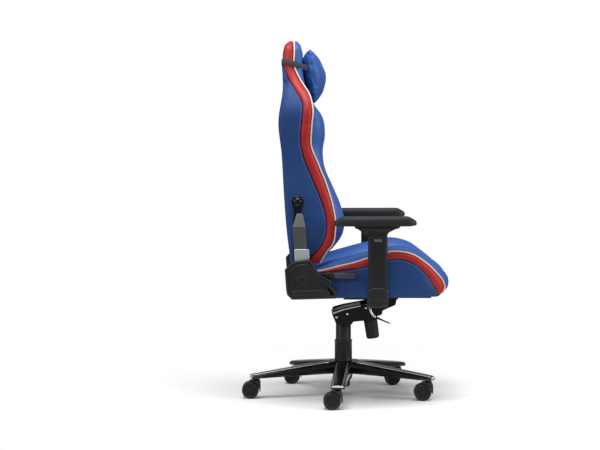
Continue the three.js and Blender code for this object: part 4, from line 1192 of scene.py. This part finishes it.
def wheel_disc(name, centre, side, inner, outer, radius):
    """One wheel: a rounded tyre, and a dished outer face with pockets round its hub."""
    turn = np.linspace(0, 2 * np.pi, 72, endpoint=False)
    tyre = [(inner, 2.6), (inner, radius - 9), (inner + 0.4, radius - 1.6),
            (inner + 2.2, radius), (outer - 4.2, radius), (outer - 1.6, radius - 1.2),
            (outer - 0.2, radius - 3.6), (outer, radius - 5.4)]
    rings = [(np.full(72, y), np.full(72, r)) for y, r in tyre]
    for share in np.linspace(0.78, 0.06, 17):
        r = radius * share
        dish = 2.3 * ease(np.array(share), 0.80, 0.70)
        band = ease(np.array(share), 0.32, 0.38) * (1 - ease(np.array(share), 0.56, 0.63))
        pocket = np.clip(np.cos(POCKETS * turn) * 1.6 + 0.35, 0, 1)
        hub = 1.4 * (1 - ease(np.array(share), 0.2, 0.27))
        rings.append((outer - dish - 2.6 * band * pocket + hub, np.full(72, r)))
    grid = [np.stack([centre[0] + r * np.cos(turn), centre[1] + side * y,
                      centre[2] + r * np.sin(turn)], 1) for y, r in rings]
    return loft(name, grid, wheel_nylon, smooth=32)


def hood(name, stem, radius, half_width, top):
    """The moulding over the wheels: two thin walls' worth of arc, a web and a collar."""
    x, y, _ = stem
    axle, gap = x - 20, 2.4
    inner, outer = radius + gap, radius + 6
    arch = ([(axle + outer, radius - 4), (axle + outer, radius + 8), (axle + outer, top - 9),
             (axle + outer - 2, top - 3), (x + 11, top), (x - 15, top), (x - 21, top - 3)]
            + arc(axle, radius, inner, 96, -6, 18))
    shell = plate("hood_arch", arch, (y - half_width, y + half_width), black_plastic, edge=1.4)
    web_outline = (arc(axle, radius, 9, 200, 340, 8)
                   + [(x + 8, radius - 2), (x + 11, top - 4), (x - 15, top - 2)])
    web = plate("hood_web", web_outline, (y - 2.4, y + 2.4), black_plastic, edge=0.5)
    collar = turned("hood_collar", [(0, 13.5), (1.2, 13.8), (4, 11), (5, 9.6), (6, 5.4),
                                    (17, 5.4), (18, 4.6)], (x, y, top - 1), bright_plate)
    return join(name, [shell, web, collar])


for number in range(1, 6):
    wheel_low, wheel_high = drawn(f"caster_wheels_{number}")
    hood_low, hood_high = drawn(f"caster_yoke_{number}")
    middle = (wheel_low + wheel_high) / 2
    radius = middle[2]
    width = (wheel_high[1] - wheel_low[1]) / 2
    discs = [wheel_disc(f"wheel_{side}", middle, side, 3.9, width, radius)
             for side in (-1, 1)]
    axle = turned("axle", [(-5, 3), (5, 3)], middle, bright_plate, axis=(0, 1, 0), sides=20)
    wheels = join(f"caster_{number}_wheels", discs + [axle], f"wheels_{number}")
    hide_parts(f"caster_wheels_{number}")
    cover = hood(f"caster_{number}_hood", (middle[0] + 20, middle[1], 0), radius,
                 (hood_high[1] - hood_low[1]) / 2, hood_high[2] - 17)
    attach(cover, f"caster_{number}")
    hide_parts(f"caster_yoke_{number}")
print("five casters, wheel radius", round(float(radius), 1))

# %% [markdown]
# ## Star base
# The base is an aluminium casting with a black gloss coat. Each arm is a beam that tapers and
# falls from the hub to its caster, with a flat top, broken shoulders and a blunt end. Only
# lofting gives that slow taper, and a small bevel breaks each edge. Thin strips of bright metal
# along the top shoulders and a bright metal end stand for polished edges, and they also paint
# the highlight lines that the arms' edges catch. The CAD casting gives the arms' angles through
# its casters.

# %% Star base
base_low, base_high = drawn("star_base")
HUB_RADIUS = 34
STAR_REACH = 341
TIP_TOP = 85
TIP_HEIGHT = 14


def star_arm(angle):
    turn = math.radians(angle)
    along, across = (np.array((math.cos(turn), math.sin(turn), 0.0)),
                     np.array((-math.sin(turn), math.cos(turn), 0.0)))
    rings = []
    for reach, half_width, shrink in ((20, 30, 1), (60, 29, 1), (120, 28, 1), (180, 27, 1),
                                      (240, 26.2, 1), (300, 25.6, 1), (330, 25.2, 1),
                                      (337, 24.6, 0.97), (STAR_REACH - 1, 22.5, 0.9)):
        share = max(0, (reach - HUB_RADIUS) / (STAR_REACH - HUB_RADIUS))
        top = base_high[2] - (base_high[2] - TIP_TOP) * share ** 1.05
        deep = (44 + (TIP_HEIGHT - 44) * share) * shrink
        top -= (1 - shrink) * 10
        section = [(-1, -deep), (-1, -deep * 0.5), (-0.93, -deep * 0.28), (-0.66, -0.6),
                   (0, 0.9), (0.66, -0.6), (0.93, -deep * 0.28), (1, -deep * 0.5), (1, -deep)]
        rings.append([along * reach + across * half_width * w + np.array((0, 0, top + d))
                      for w, d in section])
    beam = break_edges(loft("arm", rings, gloss_paint, smooth=28), 1.3, 2, 24)
    # Bright metal strips on the top shoulders: polished edges, and painted highlight lines.
    edges = [sweep("edge", np.array([ring[corner] for ring in rings[1:-1]]) + (0, 0, -0.4), 1.5,
                   satin_plate, sides=8, up=(0, 0, 1)) for corner in (3, 5)]
    # The bright metal end is partly a polished end and partly a painted highlight on the tip.
    tip = rings[-1]
    end = loft("end", [[p + along * step for p in (tip[1], tip[2], tip[3], tip[4], tip[5],
                                                  tip[6], tip[7])]
                       for step in (-3, 1.0)], satin_plate, smooth=30)
    return [beam, end] + edges


def star():
    hub_bottom, hub_top = base_low[2], base_high[2]
    hub = turned("hub", [(hub_bottom, 26), (hub_bottom, HUB_RADIUS - 6),
                         (hub_bottom + 3, HUB_RADIUS - 3), (hub_bottom + 22, HUB_RADIUS + 1),
                         (hub_top - 4, HUB_RADIUS + 1), (hub_top - 1, HUB_RADIUS - 0.5),
                         (hub_top, HUB_RADIUS - 3), (hub_top, 26)], (0, 0, 0), gloss_paint,
                 sides=64)
    arms = []
    for number in range(1, 6):
        low, high = drawn(f"caster_wheels_{number}")
        middle = (low + high) / 2
        arms += star_arm(math.degrees(math.atan2(middle[1], middle[0] + 20)))
    return join("star_base_casting", [hub] + arms, "base")


casting = star()
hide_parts("star_base")
print("star base casting")

# %% [markdown]
# ## Gas lift
# Two plastic sleeves telescope over the gas spring and keep dust off its rod. They are turned
# shapes with a rolled lip, a little wider at the foot where the lower one sits on the hub.

# %% Column sleeves
cover_low, cover_high = drawn("column_cover_lower")
outer = cover_high[0]
lower_sleeve = turned("column_sleeve_lower", [
    (cover_low[2] + 0.2, 27.8), (cover_low[2] + 0.2, outer), (cover_low[2] + 4, outer),
    (cover_low[2] + 6, outer - 0.8), (cover_high[2] - 6, outer - 1.2),
    (cover_high[2] - 4, outer), (cover_high[2] - 1, outer), (cover_high[2], outer - 1),
    (cover_high[2], 27.9)], (0, 0, 0), black_plastic, "base", sides=72)
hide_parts("column_cover_lower")
cover_low, cover_high = drawn("column_cover_upper")
outer = cover_high[0]
upper_sleeve = turned("column_sleeve_upper", [
    (cover_low[2], 25.6), (cover_low[2], outer), (cover_high[2] - 9, outer),
    (cover_high[2] - 7, outer - 1.2), (cover_high[2] - 3, outer - 1.2),
    (cover_high[2] - 2, outer), (cover_high[2] - 0.6, outer - 0.6), (cover_high[2], 24),
    (cover_high[2], 15)], (0, 0, 0), black_plastic, "column", sides=72)
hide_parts("column_cover_upper")
print("column sleeves")

# %% [markdown]
# ## Tilt mechanism
# The housing is pressed from steel plate and painted black. Its CAD shape is right, so it
# stays and only gets broken edges and paint. What a bench shows on it is added: the plated
# strip that holds its rear slope, the rivets, and a knob with a soft grooved grip.

# %% Housing trim, knob and lever
def slope_strip(side):
    outline = [(-39, 299), (-36, 306), (0, 318.5), (58, 330.5), (60, 327), (2, 314.5),
               (-33, 302)]
    strip = plate("strip", outline, (side * 70.2, side * 72.4), satin_plate, edge=0.5)
    rivets = [turned("rivet", [(0, 4), (1.6, 3.8), (2.6, 2.6), (3, 0.6)],
                     (x, side * 70.4, z), satin_plate, axis=(0, side, 0), sides=20)
              for x, z in ((-26, 288), (12, 300), (78, 322))]
    return [strip] + rivets


def pocket_lining():
    """The bright sheet that closes the housing's open top, just below the wall tops."""
    outline = [(-33, 306.5), (2, 318.5), (60, 331), (60, 329), (2, 316.5), (-33, 304.5)]
    return plate("lining", outline, (-52, 52), satin_plate, edge=0.3)


trim = join("housing_strips", slope_strip(-1) + slope_strip(1) + [pocket_lining()],
            "mechanism")

KNOB_TILT = 8
knob_axis = np.array((-math.sin(math.radians(KNOB_TILT)), 0, math.cos(math.radians(KNOB_TILT))))
knob_foot = np.array((97.0, 0.0, 274.0)) - knob_axis * 70


def knob():
    """A tapered grip with shallow flutes, and a rounded foot."""
    turn = np.linspace(0, 2 * np.pi, 96, endpoint=False)
    side = np.cross(knob_axis, (0, 1, 0))
    rings = []
    for height, radius, flute in ((0.4, 6, 0), (0.1, 13, 0), (0.9, 18.5, 0), (3.2, 21.8, 0),
                                  (7, 23.2, 0.2), (12, 23.6, 0.6), (40, 24.2, 0.6),
                                  (52, 24.4, 0.6), (56, 24.6, 0.1), (57, 23.6, 0),
                                  (58.5, 23.6, 0), (59.5, 24.8, 0), (65, 24.6, 0),
                                  (68, 22.6, 0), (68.4, 6, 0)):
        r = radius - flute * (0.5 + 0.5 * np.cos(24 * turn))
        rings.append(knob_foot + knob_axis * height
                     + r[:, None] * (np.cos(turn)[:, None] * side
                                     + np.sin(turn)[:, None] * np.array((0, 1, 0))))
    return loft("knob_grip", rings, soft_skin, smooth=35)


bolt = turned("knob_bolt", [(66, 5), (120, 5), (121.5, 4.4)], knob_foot, bright_plate,
              axis=knob_axis, sides=24)
whole_knob = join("tension_knob_grip", [knob(), bolt], "knob")
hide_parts("tension_knob")

reach = drawn("lift_lever_rod")[0][1] + 4
lever_x, lever_z = 80, 330
rod_line = line_through([(lever_x, -59, lever_z), (lever_x, -90, lever_z),
                         (lever_x, -130, lever_z + 1), (lever_x + 0.5, -180, lever_z + 12),
                         (lever_x + 1, reach + 18, lever_z + 21),
                         (lever_x + 3, reach + 6, lever_z + 18),
                         (lever_x + 5, reach, lever_z + 8), (lever_x + 11, reach, lever_z - 9),
                         (lever_x + 24, reach, lever_z - 23)], 70)
rod = sweep("lift_lever_bar", rod_line, 3.8, bright_plate, "lift_lever", sides=16)
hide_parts("lift_lever_rod")
paddle_rings = []
for x, z, thick, wide in ((104, 306, 6.4, 7), (107, 306, 8, 8.5), (114, 303.5, 7, 9.4),
                          (126, 298, 5, 10.6), (140, 291.6, 4.2, 11), (150, 287.6, 3.8, 9.6),
                          (155, 286, 2.6, 6.4)):
    turn = np.linspace(0, 2 * np.pi, 20, endpoint=False)
    paddle_rings.append([(x + 0.4 * thick / 2 * s, reach + wide * c, z + thick / 2 * s)
                         for c, s in zip(np.cos(turn), np.sin(turn))])
paddle = loft("lift_lever_handle", paddle_rings, black_plastic, "lift_lever", smooth=70)
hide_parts("lift_lever_paddle")
print("mechanism trim, knob and lever")

# %% [markdown]
# ## Recliner covers
# A black shell hides each recliner, the geared hinge between seat and backrest. The CAD shell
# already has the right walls and flanges, so it stays, with its edges broken. Its outer face
# is what everybody sees, and there a mould maker draws a rim, a sunken field and a raised
# panel. Insetting one outline again and again, each time at another height, makes that relief.

# %% Relief on the covers
COVER_OUTLINE = [(-184, 373), (-33, 377), (-33, 398), (-44, 414), (-52, 420), (-48, 437),
                 (-84, 458), (-104, 481), (-118, 506), (-126, 511), (-184, 503), (-209, 475),
                 (-204, 407), (-201, 390)]


def inset(outline, by):
    """An outline moved inwards by a distance, corner by corner."""
    outline = np.array(outline, float)
    before = outline - np.roll(outline, 1, axis=0)
    after = np.roll(outline, -1, axis=0) - outline
    normals = []
    for edge in (before, after):
        edge = edge / np.linalg.norm(edge, axis=1, keepdims=True)
        normals.append(np.stack([-edge[:, 1], edge[:, 0]], 1))
    middle = normals[0] + normals[1]
    middle /= np.linalg.norm(middle, axis=1, keepdims=True)
    stretch = 1 / np.maximum((middle * normals[0]).sum(1, keepdims=True), 0.5)
    area = (outline[:, 0] * np.roll(outline[:, 1], -1)
            - np.roll(outline[:, 0], -1) * outline[:, 1]).sum()
    return outline + middle * stretch * by * (1 if area > 0 else -1)


def relief(name, outline, steps, at, side, material, body=None):
    """A moulded face: the outline inset by each step, at a height above the place at."""
    rings = []
    for by, height in steps:
        ring = inset(outline, by)
        rings.append([(x, side * (at + height), z) for x, z in ring])
    return loft(name, rings, material, body, smooth=20)


for name, side in SIDES.items():
    outer = abs(drawn(f"recliner_cover_{name}")[1 if side > 0 else 0][1])
    rim = rounded(COVER_OUTLINE, 5, 4)
    face = relief("cover_face", rim, [(2.0, -0.6), (2.6, 1.0), (3.6, 1.8), (7.5, 1.8),
                                      (8.4, 0.7), (10.5, 0.5)], outer, side, black_plastic)
    field = [(-186, 383), (-66, 385), (-56, 398), (-66, 411), (-60, 428), (-92, 449),
             (-113, 475), (-128, 499), (-178, 491), (-196, 469), (-192, 410)]
    panel = relief("cover_field", rounded(field, 8, 4),
                   [(0, 0.2), (1.0, 1.4), (2.2, 2.2), (3.5, 2.5)], outer, side, black_plastic)
    lower = [(-180, 386), (-70, 388), (-62, 397), (-72, 406), (-184, 404)]
    step = relief("cover_step", rounded(lower, 4, 4), [(0, 2.2), (1.2, 3.4), (2.2, 3.8)],
                  outer, side, black_plastic)
    disc = turned("cover_disc", [(1.2, 15.5), (2.8, 15.2), (3.5, 14), (3.5, 11), (2.9, 10.4),
                                 (2.9, 5), (3.6, 4.4), (3.8, 0.5)],
                  (-149, side * outer, 439), black_plastic, axis=(0, side, 0), sides=40)
    made = join(f"recliner_cover_face_{name}", [face, panel, step, disc], "seat")
print("recliner cover relief")

# %% [markdown]
# ## Backrest brackets
# A steel arm runs from each recliner up the side of the backrest to one big bolt. It is
# dressed in three clipped mouldings: a bright shoe at the foot, a dark ribbed sleeve, and a
# grey cap that tapers to the bolt. The bolt's head is a polished black dome in a ring.

# %% Bracket mouldings and bolt caps
for name, side in SIDES.items():
    trim_low, trim_high = drawn(f"bracket_trim_{name}")
    inner = min(abs(trim_low[1]), abs(trim_high[1]))
    outer = max(abs(trim_low[1]), abs(trim_high[1]))
    shoe = break_edges(loft("shoe", [
        [(x, side * y, z) for x, z in rounded([(-175, 504), (-130, 504), (-131, 545.5),
                                               (-176, 545.5)], 2, 3)]
        for y in (inner, outer + 2.5)], bright_plate, smooth=40), 1.6, 3)
    shoe.data.materials[0] = satin_plate
    lip = plate("lip", [(-130, 504), (-124, 505), (-125, 545), (-131, 545.5)],
                sorted((side * inner, side * (outer - 1))), satin_plate, edge=0.8)
    cap = plate("cap", [(-181.5, 619), (-137, 619), (-148, 666.5), (-168, 666.5)],
                sorted((side * inner, side * (outer + 1.2))), pale_plastic, edge=1.8)
    sleeve_parts = [plate("sleeve", [(-177, 547), (-132, 547), (-137, 617.5), (-181.5, 617.5)],
                          sorted((side * inner, side * outer)), grey_plastic, edge=1.4)]
    for z in np.arange(553, 614, 6.5):
        lean = (z - 547) * 0.065
        sleeve_parts.append(plate("rib", [(-173.5 - lean, z), (-135.5 - lean, z),
                                          (-135.5 - lean, z + 3.4), (-173.5 - lean, z + 3.4)],
                                  sorted((side * outer, side * (outer + 1.1))), grey_plastic,
                                  edge=0.5))
    dressed = join(f"bracket_mouldings_{name}", [cap, shoe, lip] + sleeve_parts, "backrest")
    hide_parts(f"bracket_trim_{name}")

    bolt_low, bolt_high = drawn(f"bracket_bolt_{name}")
    centre = (bolt_low + bolt_high) / 2
    centre[1] = side * min(abs(bolt_low[1]), abs(bolt_high[1]))
    head = max(abs(bolt_low[1]), abs(bolt_high[1])) - abs(centre[1])
    dome = turned(f"bracket_bolt_cap_{name}", [
        (0, 6), (head - 13, 6), (head - 13, 19), (head - 11, 20.6), (head - 4, 20.8),
        (head - 2, 19.6), (head - 1.4, 17.6), (head - 2.6, 16.2), (head - 2.4, 14.6),
        (head + 0.8, 12.5), (head + 2.4, 9), (head + 3.2, 4.5), (head + 3.4, 0.5)],
        centre, gloss_paint, "backrest", axis=(0, side, 0), sides=56)
    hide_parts(f"bracket_bolt_{name}")
print("bracket mouldings and bolt caps")

# %% [markdown]
# ## Recline handle
# The handle comes out from behind the cover as a black shank and ends in a grey grip that a
# hand can find without looking, so its underside has a row of finger ribs.

# %% Recline handle
grip_low, grip_high = drawn("recline_lever_grip")
turn = np.linspace(0, 2 * np.pi, 28, endpoint=False)


def grip_ring(x, z, tall, wide):
    """A soft rectangle across the handle."""
    y = (grip_low[1] + grip_high[1]) / 2
    c, s = np.cos(turn), np.sin(turn)
    square = (np.abs(c) ** 4 + np.abs(s) ** 4) ** -0.25
    return np.stack([np.full(28, x), y + wide / 2 * c * square, z + tall / 2 * s * square], 1)


grey_grip = loft("grip", [grip_ring(x, z, tall, wide) for x, z, tall, wide in (
    (-39, 454.5, 15, 12), (-38, 454.5, 17.5, 14), (-30, 454.5, 18.2, 15.4),
    (0, 454.3, 18.2, 16), (24, 454.0, 17.6, 15.6), (32, 453.6, 16, 13.6),
    (35.5, 453.2, 12, 9), (36.5, 453, 5, 4))], grey_plastic, smooth=50)
shank = loft("shank", [grip_ring(x, z, tall, wide) for x, z, tall, wide in (
    (-70.5, 455, 12, 8), (-69.5, 455, 16, 11), (-60, 455.5, 19.2, 14), (-48, 455.2, 19.2, 15),
    (-41, 454.6, 18, 14.6), (-38, 454.5, 14, 11))], black_plastic, smooth=50)
ribs = [plate("rib", [(x, 444.6), (x + 3, 444.6), (x + 3, 447), (x, 447)],
              (grip_low[1] + 3, grip_high[1] - 3), grey_plastic, edge=0.5)
        for x in np.arange(-26, 22, 8)]
handle = join("recline_handle_grip", [grey_grip, shank] + ribs, "recline_handle")
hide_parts("recline_lever_grip")
print("recline handle")

# %% [markdown]
# ## Armrests
# An armrest is a telescope. Its foot is bolted to a steel bracket under the seat, a sleeve
# slides up and down a post that stands on the foot, and a carrier on top of the sleeve turns
# and carries the pad. The foot and the sleeve are extrusions with generous corner rounds, so
# they are lofts of one soft rectangle; the carrier flares from the sleeve to a wide flange.

# %% Feet, sleeves and buttons
POST = (48, 20)


def soft_ring(x, y, z, long, wide, power=4.0, count=64):
    """A level soft rectangle; a higher power gives sharper corners."""
    turn = np.linspace(0, 2 * np.pi, count, endpoint=False)
    c, s = np.cos(turn), np.sin(turn)
    reach = (np.abs(c) ** power + np.abs(s) ** power) ** (-1 / power)
    return np.stack([x + long / 2 * c * reach, y + wide / 2 * s * reach, np.full(count, z)], 1)


for name, side in SIDES.items():
    low, high = drawn(f"arm_sleeve_{name}")
    centre = (low + high) / 2
    long, wide = high[0] - low[0], high[1] - low[1]
    bottom, top = low[2], high[2]
    post_low, post_high = drawn(f"arm_post_{name}")
    room = post_high[2] + 5
    inside = [soft_ring(centre[0], centre[1], z, POST[0], POST[1], 9) for z in (room, bottom)]
    outside = [soft_ring(centre[0], centre[1], z, long - less, wide - less, 4.2)
               for z, less in ((bottom, 2.4), (bottom + 1.2, 0.5), (bottom + 3, 0),
                               (top - 8, 0), (top - 3.5, 0.8), (top - 1, 3), (top, 7))]
    tube = loft("tube", inside + outside, black_plastic, smooth=40)
    face = side * max(abs(low[1]), abs(high[1]))
    button_low, button_high = drawn(f"arm_button_{name}")
    frame_outline = rounded([(button_low[0] - 4, button_low[2] - 4),
                             (button_high[0] + 4, button_low[2] - 4),
                             (button_high[0] + 4, button_high[2] + 4),
                             (button_low[0] - 4, button_high[2] + 4)], 4, 5)
    bezel = relief("bezel", frame_outline, [(0, -2.0), (0.4, 0.4), (1.3, 0.9), (2.2, 0.2),
                                            (3.2, -1.4)], abs(face), side, black_plastic)
    sleeve = join(f"arm_sleeve_skin_{name}", [tube, bezel], f"arm_{name}")
    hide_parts(f"arm_sleeve_{name}")

    # The key's pale colour is a painted highlight along its top edge.
    key_outline = rounded([(button_low[0] + 0.4, button_low[2] + 0.4),
                           (button_high[0] - 0.4, button_low[2] + 0.4),
                           (button_high[0] - 0.4, button_high[2] - 0.4),
                           (button_low[0] + 0.4, button_high[2] - 0.4)], 2.5, 5)
    key = relief(f"arm_button_key_{name}", key_outline, [(0, -4.0), (0, 0.4), (0.7, 1.4),
                                                         (1.6, 1.7), (3.6, 1.3)],
                 abs(face), side, pale_plastic, f"button_{name}")
    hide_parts(f"arm_button_{name}")

    foot_long, foot_wide = post_high[0] - post_low[0], post_high[1] - post_low[1]
    foot_bottom, foot_top = post_low[2], bottom - 2
    grooves = []
    for z in (foot_bottom + 16, foot_bottom + 31, foot_bottom + 46):
        grooves += [(z - 1.4, 0), (z - 0.5, 1.5), (z + 0.5, 1.5), (z + 1.4, 0)]
    levels_up = ([(foot_bottom, 16), (foot_bottom + 1.5, 8), (foot_bottom + 5, 3),
                  (foot_bottom + 10, 0.6)] + grooves
                 + [(foot_top - 3, 0), (foot_top - 0.6, 1.2), (foot_top, 3)])
    foot = loft("foot", [soft_ring(centre[0], centre[1], z, foot_long - less,
                                   foot_wide - less, 5) for z, less in levels_up],
                black_plastic, smooth=30)
    post = loft("post", [soft_ring(centre[0], centre[1], z, POST[0] - less, POST[1] - less, 12)
                         for z, less in ((foot_top - 2, 2), (post_high[2] - 1, 2),
                                         (post_high[2], 4))], satin_plate, smooth=30)
    stand = join(f"arm_stand_{name}", [foot, post], "seat")
    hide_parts(f"arm_post_{name}")
print("feet, sleeves and buttons")

# %% [markdown]
# The carrier is a moulding too: a flange under the pad, and hollow flanks that lead down to a
# short collar on the sleeve. The pad is what the elbow rests on, a firm foam with a skin
# moulded onto it, so it is fuller than a board: crowned on top, chamfered to a lower edge, and
# drawn in at the nose.

# %% Carriers and pads
CARRIER_PIN_X = 108     # the pad's turning pin stands over the middle of the post


for name, side in SIDES.items():
    low, high = drawn(f"arm_carrier_{name}")
    centre = (low + high) / 2
    top, sleeve_top = high[2], drawn(f"arm_sleeve_{name}")[1][2] + 0.6
    rear, front = low[0], high[0]
    wide = high[1] - low[1]
    flare = [(sleeve_top, 62, 141, 33), (sleeve_top + 5, 59, 142, 34),
             (sleeve_top + 10, 54, 147, 37), (sleeve_top + 16, 46, 158, 43),
             (sleeve_top + 21, 38, 169, 49), (top - 8, rear + 2, 178, wide - 1),
             (top - 4, rear, front, wide), (top - 1.2, rear, front, wide),
             (top, rear + 1.5, front - 1.5, wide - 2)]
    horn = loft("horn", [soft_ring((a + b) / 2, centre[1], z, b - a, w, 5)
                         for z, a, b, w in flare], black_plastic, smooth=30)
    pin = turned("pin", [(low[2], 6), (sleeve_top + 2, 6)], (CARRIER_PIN_X, centre[1], 0),
                 bright_plate, sides=24)
    carrier = join(f"arm_carrier_horn_{name}", [horn, pin], f"carrier_{name}")
    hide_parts(f"arm_carrier_{name}")


def pad_ring(x, low, high, half, y, crown):
    """The pad cut across: a crowned top, crisp chamfers, and a flat foot."""
    shape = [(-0.90, 0), (-0.985, 0.07), (-1, 0.2), (-1, 0.66), (-0.975, 0.80), (-0.90, 0.965),
             (-0.86, 1), (-0.6, 1), (-0.3, 1), (0, 1)]
    shape += [(-a, b) for a, b in shape[-2::-1]]
    tall = high - low
    return [(x, y + half * a, low + tall * b + (crown * (1 - (a / 0.86) ** 2)
             if b == 1 else 0)) for a, b in shape]


for name, side in SIDES.items():
    low, high = drawn(f"arm_pad_{name}")
    y, half = (low[1] + high[1]) / 2, (high[1] - low[1]) / 2
    rear, nose, foot = low[0], high[0], low[2]
    stations = [(rear + 1, 2.4, 11, 0.56), (rear + 1.8, 1.0, 14, 0.66), (rear + 5, 0.3, 17, 0.76),
                (rear + 12, 0, 21.0, 0.86), (rear + 24, 0, 27.4, 0.94), (rear + 34, 0, 30, 0.975),
                (rear + 50, 0, 30.6, 1.0), (rear + 150, 0, 30.8, 1.0),
                (nose - 60, 0, 31.0, 1.0), (nose - 34, 0, 31.0, 0.96), (nose - 27, 0, 30.6, 0.93),
                (nose - 22, 0.3, 29.2, 0.905), (nose - 12, 1.6, 23.8, 0.82),
                (nose - 4, 3.0, 19.4, 0.72), (nose - 1, 4.0, 16.8, 0.66),
                (nose, 6.5, 13.5, 0.61)]
    rings = [pad_ring(x, foot + a, foot + b, half * w, y, 0.9) for x, a, b, w in stations]
    pad = loft(f"arm_pad_skin_{name}", rings, soft_skin, f"pad_{name}", smooth=24)
    break_edges(pad, 1.0, 2, 24)
    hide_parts(f"arm_pad_{name}")
print("carriers and pads")

# %% [markdown]
# ## Seat frame and recliner plates
# The frame under the cushion is folded sheet: two long rails turned up at their outer edge and
# three flat crossbars. Its rails are thinner than the CAD bars, because a folded edge is all
# that shows below the leather. The recliner plates stand on it and end inside the covers.

# %% Seat frame and recliner plates
frame_low, frame_high = drawn("seat_frame")
bars = []
for side in (-1, 1):
    edge_y = side * (frame_high[1] - 22)
    for a, b, low_z in ((edge_y, side * 190, frame_high[2] - 4.5),
                        (side * 100, side * 62, frame_low[2] + 0.2)):
        bars.append(plate("rail", [(frame_low[0] + 6, low_z), (frame_high[0] - 8, low_z),
                                   (frame_high[0] - 2, frame_high[2] - 3),
                                   (frame_high[0] - 2, frame_high[2] - 0.3),
                                   (frame_low[0], frame_high[2] - 0.3),
                                   (frame_low[0], frame_high[2] - 3)],
                          sorted((a, b)), steel_paint, edge=0.8))
for x in (frame_low[0] + 2, 78, frame_high[0] - 42):
    bars.append(plate("crossbar", [(x, frame_high[2] - 4), (x + 36, frame_high[2] - 4),
                                   (x + 36, frame_high[2] - 0.4), (x, frame_high[2] - 0.4)],
                      (-frame_high[1] + 24, frame_high[1] - 24), steel_paint, edge=0.8))
seat_rails = join("seat_rails", bars, "seat")
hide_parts("seat_frame")

for name, side in SIDES.items():
    low, high = drawn(f"recliner_plate_{name}")
    inner = min(abs(low[1]), abs(high[1]))
    outer = max(abs(low[1]), abs(high[1]))
    cheek = plate("cheek", rounded([(low[0], 376), (high[0], 376), (high[0], 400),
                                    (high[0] - 26, high[2] - 20), (-133, high[2]),
                                    (-165, high[2]), (low[0], 440)], 6, 4),
                  sorted((side * inner, side * (inner + 6))), steel_paint, edge=0.7)
    gear = turned("gear", [(0, 31), (2.6, 31), (3.4, 30.2), (3.4, 14), (outer - inner - 7, 13),
                           (outer - inner - 7, 4)],
                  (-149, side * (inner + 5), 439), satin_plate, axis=(0, side, 0), sides=40)
    hinge = join(f"recliner_hinge_{name}", [cheek, gear], "seat")
    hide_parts(f"recliner_plate_{name}")
print("seat rails and recliner plates")

# %% [markdown]
# ## Steel that stays as drawn
# The frame, the brackets, the housing and the gas spring are cut, bent and turned metal, so
# the CAD shapes are the right shapes already. They get the broken edges that deburring and
# paint leave on real steel, and their own finish.

# %% Finishes for the CAD parts
def finish(node_name, material, edge=0.6, segments=2):
    made = bpy.data.objects[node_name]
    made.data.materials.clear()
    made.data.materials.append(material)
    if edge:
        break_edges(made, edge, segments, 32)


for node_name in ("mechanism_housing", "seat_plate", "recline_shaft"):
    finish(node_name, steel_paint)
for node_name in ("gas_cylinder_tube", "recline_lever"):
    finish(node_name, steel_paint, 0.4)
for node_name in ("gas_piston_rod", "tilt_pivot_pin"):
    finish(node_name, bright_plate, 0.3)
finish("tilt_spring", bright_plate, 0)
for name in SIDES:
    finish(f"recliner_cover_{name}", black_plastic, 1.6, 3)
    finish(f"back_bracket_{name}", steel_paint, 0.9)
    finish(f"arm_bracket_{name}", steel_paint, 0.8)
print("finishes on the carried-over parts")
